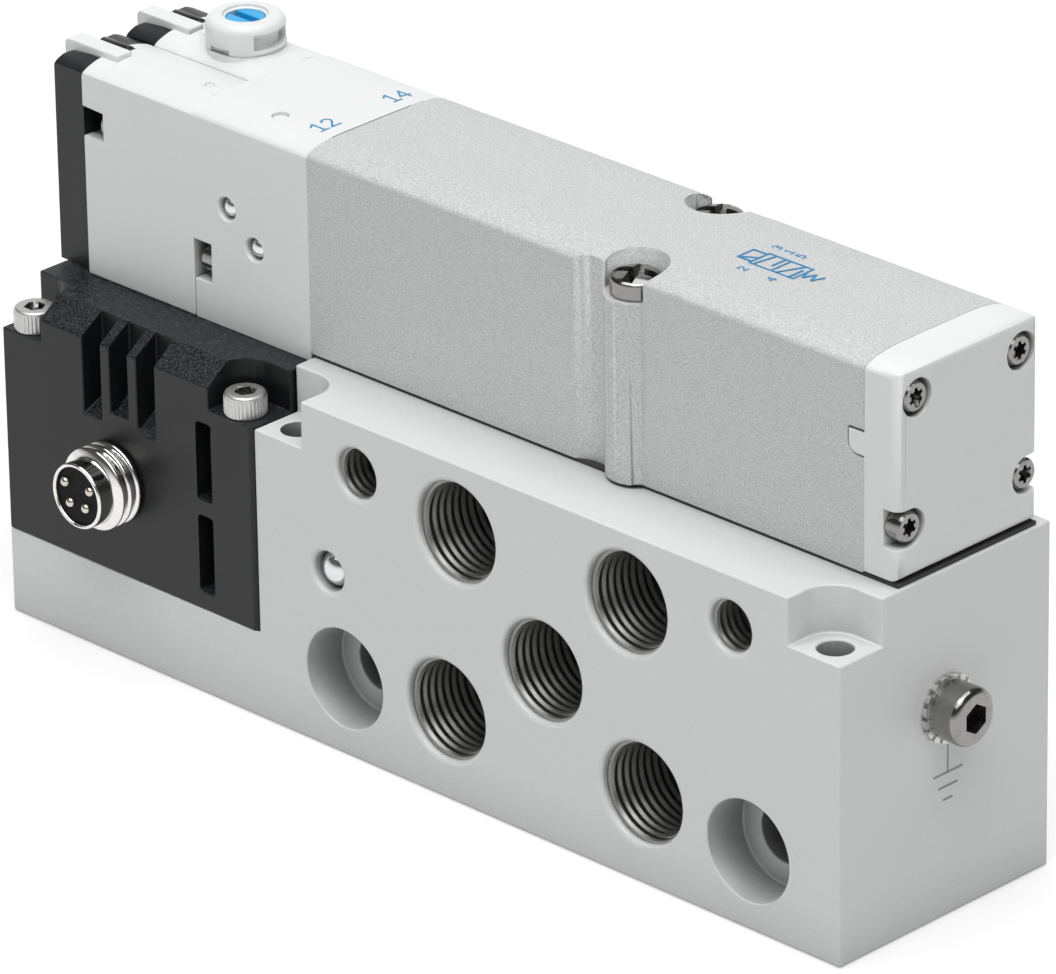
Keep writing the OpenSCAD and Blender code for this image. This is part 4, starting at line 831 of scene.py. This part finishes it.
class VALVE_OT_stage(bpy.types.Operator):
    """Floor, soft light and the camera at the photograph's angle"""

    bl_idname = "valve.stage"
    bl_label = "Stage"

    def execute(self, context):
        scene = context.scene
        s = scene.valve_stage
        scene.view_settings.view_transform = "Standard"
        mesh = bpy.data.meshes.new("floor")
        reach = 4.0
        mesh.from_pydata([(-reach, -reach, 0), (reach, -reach, 0), (reach, reach, 0), (-reach, reach, 0)], [],
                         [(0, 1, 2, 3)])
        floor = bpy.data.objects.new("floor", mesh)
        floor.location.z = -0.0001
        scene.collection.objects.link(floor)
        # A pale painted floor: camera, glossy and see-through rays find it whiter, and it keeps the shadow
        material, tree, place, shader = start("pale_floor_paint")
        shader.inputs["Base Color"].default_value = linear("BFBFBF")
        shader.inputs["Roughness"].default_value = 0.9
        shader.inputs["Specular IOR Level"].default_value = 0.0
        rays = add(tree, "ShaderNodeLightPath").outputs
        seen = rays["Is Camera Ray"]
        for ray in ("Is Glossy Ray", "Is Transmission Ray"):
            seen = add(tree, "ShaderNodeMath", {0: seen, 1: rays[ray]}, operation="MAXIMUM").outputs[0]
        glow = add(tree, "ShaderNodeMath", {0: seen, 1: s.glow}, operation="MULTIPLY").outputs[0]
        shader.inputs["Emission Color"].default_value = (1, 1, 1, 1)
        tree.links.new(glow, shader.inputs["Emission Strength"])
        mesh.materials.append(material)
        # The room is pale at the horizon and dark overhead, so that bright metal has something to reflect
        world = bpy.data.worlds.new("soft_room")
        world.use_nodes = True
        tree = world.node_tree
        sight = add(tree, "ShaderNodeTexCoord").outputs["Generated"]
        height = add(tree, "ShaderNodeSeparateXYZ", {0: sight}).outputs[2]
        shade = add(tree, "ShaderNodeMapRange", {"Value": height, "From Min": 0.05, "From Max": 0.3,
                                                 "To Min": s.horizon, "To Max": s.room})
        tree.nodes["Background"].inputs["Color"].default_value = (1, 1, 1, 1)
        tree.links.new(shade.outputs[0], tree.nodes["Background"].inputs["Strength"])
        scene.world = world
        for name, spot, width, depth, watts in [
            ("overhead_softbox", (0, 0, 1.1), 1.2, 1.2, s.overhead),
            ("front_softbox", (0, -0.55, 1.0), 1.0, 0.8, s.front),
            ("right_softbox", (0.5, -0.4, 1.0), 0.8, 0.8, s.right),
            ("back_softbox", (-0.85, 0.85, 0.75), 1.4, 0.9, s.back),
        ]:
            lamp = bpy.data.lights.new(name, "AREA")
            lamp.shape = "RECTANGLE"
            lamp.size = width
            lamp.size_y = depth
            lamp.energy = watts
            softbox = bpy.data.objects.new(name, lamp)
            spot = Vector(spot)
            facing = spot.to_track_quat("Z", "Y").to_matrix().to_4x4()
            softbox.matrix_world = Matrix.Translation(spot) @ facing
            scene.collection.objects.link(softbox)
        camera = bpy.data.cameras.new("camera")
        camera.sensor_width = 36
        camera.sensor_fit = "HORIZONTAL"
        camera.lens = s.lens
        camera.clip_start = 0.02
        camera.clip_end = 20
        aim = Vector((2.0995, 0, 25.3836)) * MM
        level = math.cos(s.elevation)
        back = Vector((math.sin(s.azimuth) * level, -math.cos(s.azimuth) * level, math.sin(s.elevation)))
        side = (-back).cross(Vector((0, 0, 1))).normalized()
        up = side.cross(-back)
        turned = Matrix((side, up, back)).transposed() @ Matrix.Rotation(s.roll, 3, "Z")
        holder = bpy.data.objects.new("camera", camera)
        holder.matrix_world = Matrix.Translation(aim + back * s.distance) @ turned.to_4x4()
        scene.collection.objects.link(holder)
        scene.camera = holder
        return {"FINISHED"}


class VALVE_OT_sub_base(bpy.types.Operator):
    """Ported sub-base with its pressed plug and its seal"""

    bl_idname = "valve.sub_base"
    bl_label = "Sub-base"

    def execute(self, context):
        s = sizes()
        dress("sub_base", "blasted_anodised_aluminium", s.metal_edge)
        dress("channel_plug", "bearing_steel", 0)
        dress("base_gasket", "nitrile_rubber", 0.06 * MM)
        return {"FINISHED"}


class VALVE_OT_port_threads(bpy.types.Operator):
    """Threads cut in the working ports and the pilot ports"""

    bl_idname = "valve.port_threads"
    bl_label = "Port threads"

    def execute(self, context):
        s = sizes()
        for name, places, radius, depth, crest, pitch in [
            ("working_port_threads", WORKING_PORTS, WORKING_BORE_R, WORKING_THREAD,
             s.port_crest, s.port_pitch),
            ("pilot_port_threads", PILOT_PORTS, PILOT_BORE_R, PILOT_THREAD, s.pilot_crest, s.pilot_pitch),
        ]:
            pitch /= MM
            crest /= MM
            points = [(x, FRONT_Y + THREAD_START + pitch * 0.45, z) for x, z in places]
            turns = (depth - THREAD_START - pitch) / pitch
            mesh = wound(points, ALONG_Y, radius + THREAD_SINK, crest + THREAD_SINK, pitch * 0.46, pitch,
                         turns, "cut_aluminium_thread", 0.3, 64, 8)
            to_object(name, mesh, "cut_aluminium_thread", "valve")
        return {"FINISHED"}


class VALVE_OT_housing(bpy.types.Operator):
    """Black electrical housing, its plug and what it holds"""

    bl_idname = "valve.housing"
    bl_label = "Electrical housing"

    def execute(self, context):
        s = sizes()
        dress("connector_housing", "moulded_black_nylon", s.plastic_edge, 3, crisp=20,
              other="spark_eroded_black_nylon", picks=upper_faces)
        dress("connector_shell", "nickel_plated_brass", 0.1 * MM)
        dress("connector_insert", "matt_black_nylon", 0.08 * MM)
        dress("contact_pins", "gold_plated_brass", 0)
        dress("circuit_board", "circuit_board_laminate", 0)
        dress("socket_strip", "satin_black_nylon", 0.1 * MM)
        return {"FINISHED"}


class VALVE_OT_body(bpy.types.Operator):
    """Die-cast valve body and the white end cap"""

    bl_idname = "valve.body"
    bl_label = "Valve body"

    def execute(self, context):
        s = sizes()
        dress("valve_body", "blasted_die_cast_aluminium", s.cast_edge)
        dress("end_cap", "moulded_white_polyester", s.plastic_edge / 2, least=60)
        return {"FINISHED"}


class VALVE_OT_pilots(bpy.types.Operator):
    """White pilot block, the two pilots, their covers and windows"""

    bl_idname = "valve.pilots"
    bl_label = "Pilots"

    def execute(self, context):
        s = sizes()
        for node in ("pilot_block", "pilot_housing", "blank_housing"):
            dress(node, "moulded_white_polyester", s.plastic_edge, least=30, crisp=30)
        for node in ("pilot_cover", "blank_cover"):
            dress(node, "satin_black_nylon", s.plastic_edge * 0.7, 3)
        for node in ("pilot_lens", "blank_lens"):
            dress(node, "smoked_polycarbonate", 0.15 * MM, 3)
        dress("block_balls", "bearing_steel", 0)
        return {"FINISHED"}


class VALVE_OT_override(bpy.types.Operator):
    """Manual override: round cap, blue button and the stem below it"""

    bl_idname = "valve.override"
    bl_label = "Manual override"

    def execute(self, context):
        dress("override_cap", "moulded_white_polyester", 0.1 * MM)
        dress("override_button", "blue_acetal", 0.12 * MM, 3)
        dress("override_stem", "natural_acetal", 0.08 * MM)
        return {"FINISHED"}


class VALVE_OT_screws(bpy.types.Operator):
    """Every screw, with the knurl of the socket heads and the ground screw's washer"""

    bl_idname = "valve.screws"
    bl_label = "Screws"

    def execute(self, context):
        s = sizes()
        self.mounting_screws()
        for node, axis, reach, depth, width in [
            ("end_cap_screws", 0, 0.95, 1.0, 0),
            ("block_screws", 0, 0.95, 1.0, 0),
            ("pilot_screws", 0, 0.95, 1.0, 0),
            ("housing_screws", 2, 1.2, 1.7, s.screw_edge),
            ("ground_screw", 0, 1.75, 1.75, 0),
        ]:
            plating = "zinc_plated_steel" if node == "housing_screws" else "dark_plated_steel"
            # The recess finishes are darker copies of the plating, which paint the shade inside the heads'
            # recesses
            recess = "painted_shade_steel_socket" if node == "housing_screws" else "painted_shade_steel_recess"
            dress(node, plating, width, other=recess,
                  picks=lambda form: recess_faces(form, axis, reach, depth))
        dress("ground_lock_washer", "zinc_plated_steel", 0)
        points = [(x, y, 30.0) for x, y in HOUSING_SCREWS]
        mesh = follow(ribs_rule(), points, {
            "Radius": 1.9 * MM, "Rib radius": 0.12 * MM, "Rib length": 1.6 * MM,
            "Count": s.knurl_flutes, "Turn": UPRIGHT}, "zinc_plated_steel")
        to_object("housing_screw_knurl", mesh, "zinc_plated_steel", "valve")
        return {"FINISHED"}

    def mounting_screws(self):
        """Two pan head screws with a domed top and a deep cross recess"""
        low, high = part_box("valve_screws")
        foot = low.z / MM
        dome = high.z / MM
        side = dome - SCREW_DOME
        mesh = bpy.data.meshes.new("valve_screws")
        mesh.materials.append(finish("dark_plated_steel"))
        mesh.materials.append(finish("painted_shade_steel_recess"))
        whole = bmesh.new()
        for place in VALVE_SCREWS:
            arc = [(SCREW_HEAD_R * math.cos(a), side + SCREW_DOME * math.sin(a))
                   for a in [math.radians(i * 7.5) for i in range(1, 12)]]
            profile = [(0, foot), (SCREW_SHANK_R, foot), (SCREW_SHANK_R, SCREW_SEAT_Z),
                       (SCREW_HEAD_R - SCREW_BREAK, SCREW_SEAT_Z), (SCREW_HEAD_R, SCREW_SEAT_Z + SCREW_BREAK),
                       (SCREW_HEAD_R, side), *arc, (0, dome)]
            blades = [wedge(place, turn, dome + 0.4, 3.0, dome - RECESS_DEPTH, 0.7, 1.15)
                      for turn in (20, 110)]
            head = cut_away(lathe(profile, place), blades)
            # Faces sunk in the cross recess get the darker recess finish, which paints the shade inside it
            for face in head.faces:
                middle = face.calc_center_median()
                off = math.hypot(middle.x / MM - place[0], middle.y / MM - place[1])
                lid = side + SCREW_DOME * math.sqrt(max(0, 1 - (off / SCREW_HEAD_R) ** 2))
                sunk = dome - RECESS_DEPTH - 0.1 < middle.z / MM < lid - 0.06
                if sunk and off < SCREW_HEAD_R * 0.9:
                    face.material_index = 1
            piece = bpy.data.meshes.new("head")
            head.to_mesh(piece)
            head.free()
            whole.from_mesh(piece)
        whole.to_mesh(mesh)
        whole.free()
        settle(mesh, 30)
        to_object("valve_screws_finished", mesh, "dark_plated_steel", "valve",
                  ["valve_screws"])


class VALVE_OT_spool_set(bpy.types.Operator):
    """Spool, its drive piston and all the seal rings"""

    bl_idname = "valve.spool_set"
    bl_label = "Spool and seals"

    def execute(self, context):
        dress("spool", "turned_aluminium", 0.15 * MM)
        dress("drive_piston", "natural_acetal", 0.1 * MM)
        for node in ("spool_seals", "piston_seal", "end_cap_seal", "block_seal"):
            dress(node, "nitrile_rubber", 0.1 * MM)
        return {"FINISHED"}


class VALVE_OT_solenoid(bpy.types.Operator):
    """Coil with its winding, the core, the armature and the contacts"""

    bl_idname = "valve.solenoid"
    bl_label = "Solenoid"

    def execute(self, context):
        low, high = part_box("coil")
        wire = sizes().winding / MM
        reach = (high.x - low.x) / 2 / MM
        turns = int((high.z - low.z) / MM / wire) - 1
        dress("coil", "enamelled_copper", 0)
        mesh = wound([(OVERRIDE_X, OVERRIDE_Y, low.z / MM + wire)], UPRIGHT, reach - wire * 0.45, wire * 0.45,
                     wire * 0.45, wire, turns, "enamelled_copper", 0.1, 36, 6)
        to_object("coil_winding", mesh, "enamelled_copper", "valve")
        dress("coil_core", "magnetic_steel", 0.1 * MM)
        dress("armature", "magnetic_steel", 0.1 * MM)
        dress("coil_pins", "gold_plated_brass", 0.06 * MM)
        return {"FINISHED"}


class VALVE_OT_springs(bpy.types.Operator):
    """The three coil springs"""

    bl_idname = "valve.springs"
    bl_label = "Springs"

    def execute(self, context):
        for node, point, turn, outer, wire, span, turns, joint, axis, anchor, keep in [
            ("return_spring", (39.25, VALVE_Y, 43.8), ALONG_X, 6.2, 0.7, 7.5, 5, "spool_slide",
             (1, 0, 0), (46.75, VALVE_Y, 43.8), 0.6),
            ("override_spring", (OVERRIDE_X, OVERRIDE_Y, 50.7), UPRIGHT, 3.06, 0.25, 1.6, 3,
             "override_push", (0, 0, 1), (OVERRIDE_X, OVERRIDE_Y, 50.7), 0.656),
            ("armature_spring", (OVERRIDE_X, OVERRIDE_Y, 40.85), UPRIGHT, 1.8, 0.24, 3.15, 5,
             "armature_slide", (0, 0, 1), (OVERRIDE_X, OVERRIDE_Y, 40.85), 0.825),
        ]:
            shift = Vector((wire / 2, 0, 0)) if turn == ALONG_X else Vector((0, 0, wire / 2))
            mesh = wound([Vector(point) + shift], turn, (outer - wire) / 2, wire / 2, wire / 2,
                         (span - wire) / turns, turns, "spring_steel", 0.04, 32, 12)
            made = to_object(node + "_wire", mesh, "spring_steel", "valve", [node])
            [c * MM for c in anchor]
            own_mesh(made)
            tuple(axis)
        return {"FINISHED"}


class VALVE_OT_marks(bpy.types.Operator):
    """Printed pilot numbers, the circuit sign of a five-port valve and the earth sign"""

    bl_idname = "valve.marks"
    bl_label = "Marks"

    def execute(self, context):
        numbers = bmesh.new()
        for text, x, y in [("12", -21.9, -1.1), ("14", -21.9, 8.1)]:
            add_number(numbers, text, 1.75, x, y, 0.2)
        print_on("pilot_numbers", numbers, "pilot_block", "blue_pad_ink")
        sign = bmesh.new()
        for text, x, y in [
            ("3", 27.1, 6.3), ("1", 28.5, 6.3), ("5", 29.9, 6.3), ("2", 28.0, 0.9), ("4", 31.4, 0.9),
        ]:
            add_number(sign, text, 0.9, x, y, 0.16)
        for points in circuit_sign():
            add_stroke(sign, points, 0.22)
        print_on("circuit_sign", sign, "valve_body", "blue_pad_ink")
        earth = bmesh.new()
        for half, z in [(1.8, 14.0), (1.2, 12.7), (0.55, 11.45)]:
            add_stroke(earth, [(-half + 0.3, z), (half + 0.3, z)], 0.22)
        add_stroke(earth, [(0.3, 16.6), (0.3, 14.1)], 0.16)
        mesh = bpy.data.meshes.new("earth_sign")
        for vert in earth.verts:
            vert.co = Vector((BASE_X1 + MARK_LIFT, vert.co.x, vert.co.y)) * MM
        earth.to_mesh(mesh)
        earth.free()
        to_object("earth_sign", mesh, "laser_marked_aluminium", "valve")
        return {"FINISHED"}


class VALVE_PT_panel(bpy.types.Panel):
    """Lists the pieces of the valve and their sizes and colours"""

    bl_label = "Solenoid valve"
    bl_idname = "VALVE_PT_panel"
    bl_space_type = "VIEW_3D"
    bl_region_type = "UI"
    bl_category = "Valve"

    def draw(self, context):
        for kind in OPERATORS:
            self.layout.operator(kind.bl_idname)
        for group in (context.scene.valve_sizes, context.scene.valve_colours, context.scene.valve_stage):
            box = self.layout.box()
            for key in group.__annotations__:
                box.prop(group, key)


OPERATORS = [
    VALVE_OT_stage, VALVE_OT_sub_base, VALVE_OT_port_threads, VALVE_OT_housing, VALVE_OT_body,
    VALVE_OT_pilots, VALVE_OT_override, VALVE_OT_screws, VALVE_OT_spool_set, VALVE_OT_solenoid,
    VALVE_OT_springs, VALVE_OT_marks,
]
GROUPS = {"valve_sizes": ValveSizes, "valve_colours": ValveColours, "valve_stage": StageSettings}


def register():
    for kind in [*GROUPS.values(), *OPERATORS, VALVE_PT_panel]:
        bpy.utils.register_class(kind)
    for key, kind in GROUPS.items():
        setattr(bpy.types.Scene, key, bpy.props.PointerProperty(type=kind))


def unregister():
    for key in GROUPS:
        delattr(bpy.types.Scene, key)
    for kind in reversed([*GROUPS.values(), *OPERATORS, VALVE_PT_panel]):
        bpy.utils.unregister_class(kind)


def main():
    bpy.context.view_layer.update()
    register()
    for kind in OPERATORS:
        space, name = kind.bl_idname.split(".")
        getattr(getattr(bpy.ops, space), name)()


if __name__ == "__main__":
    main()
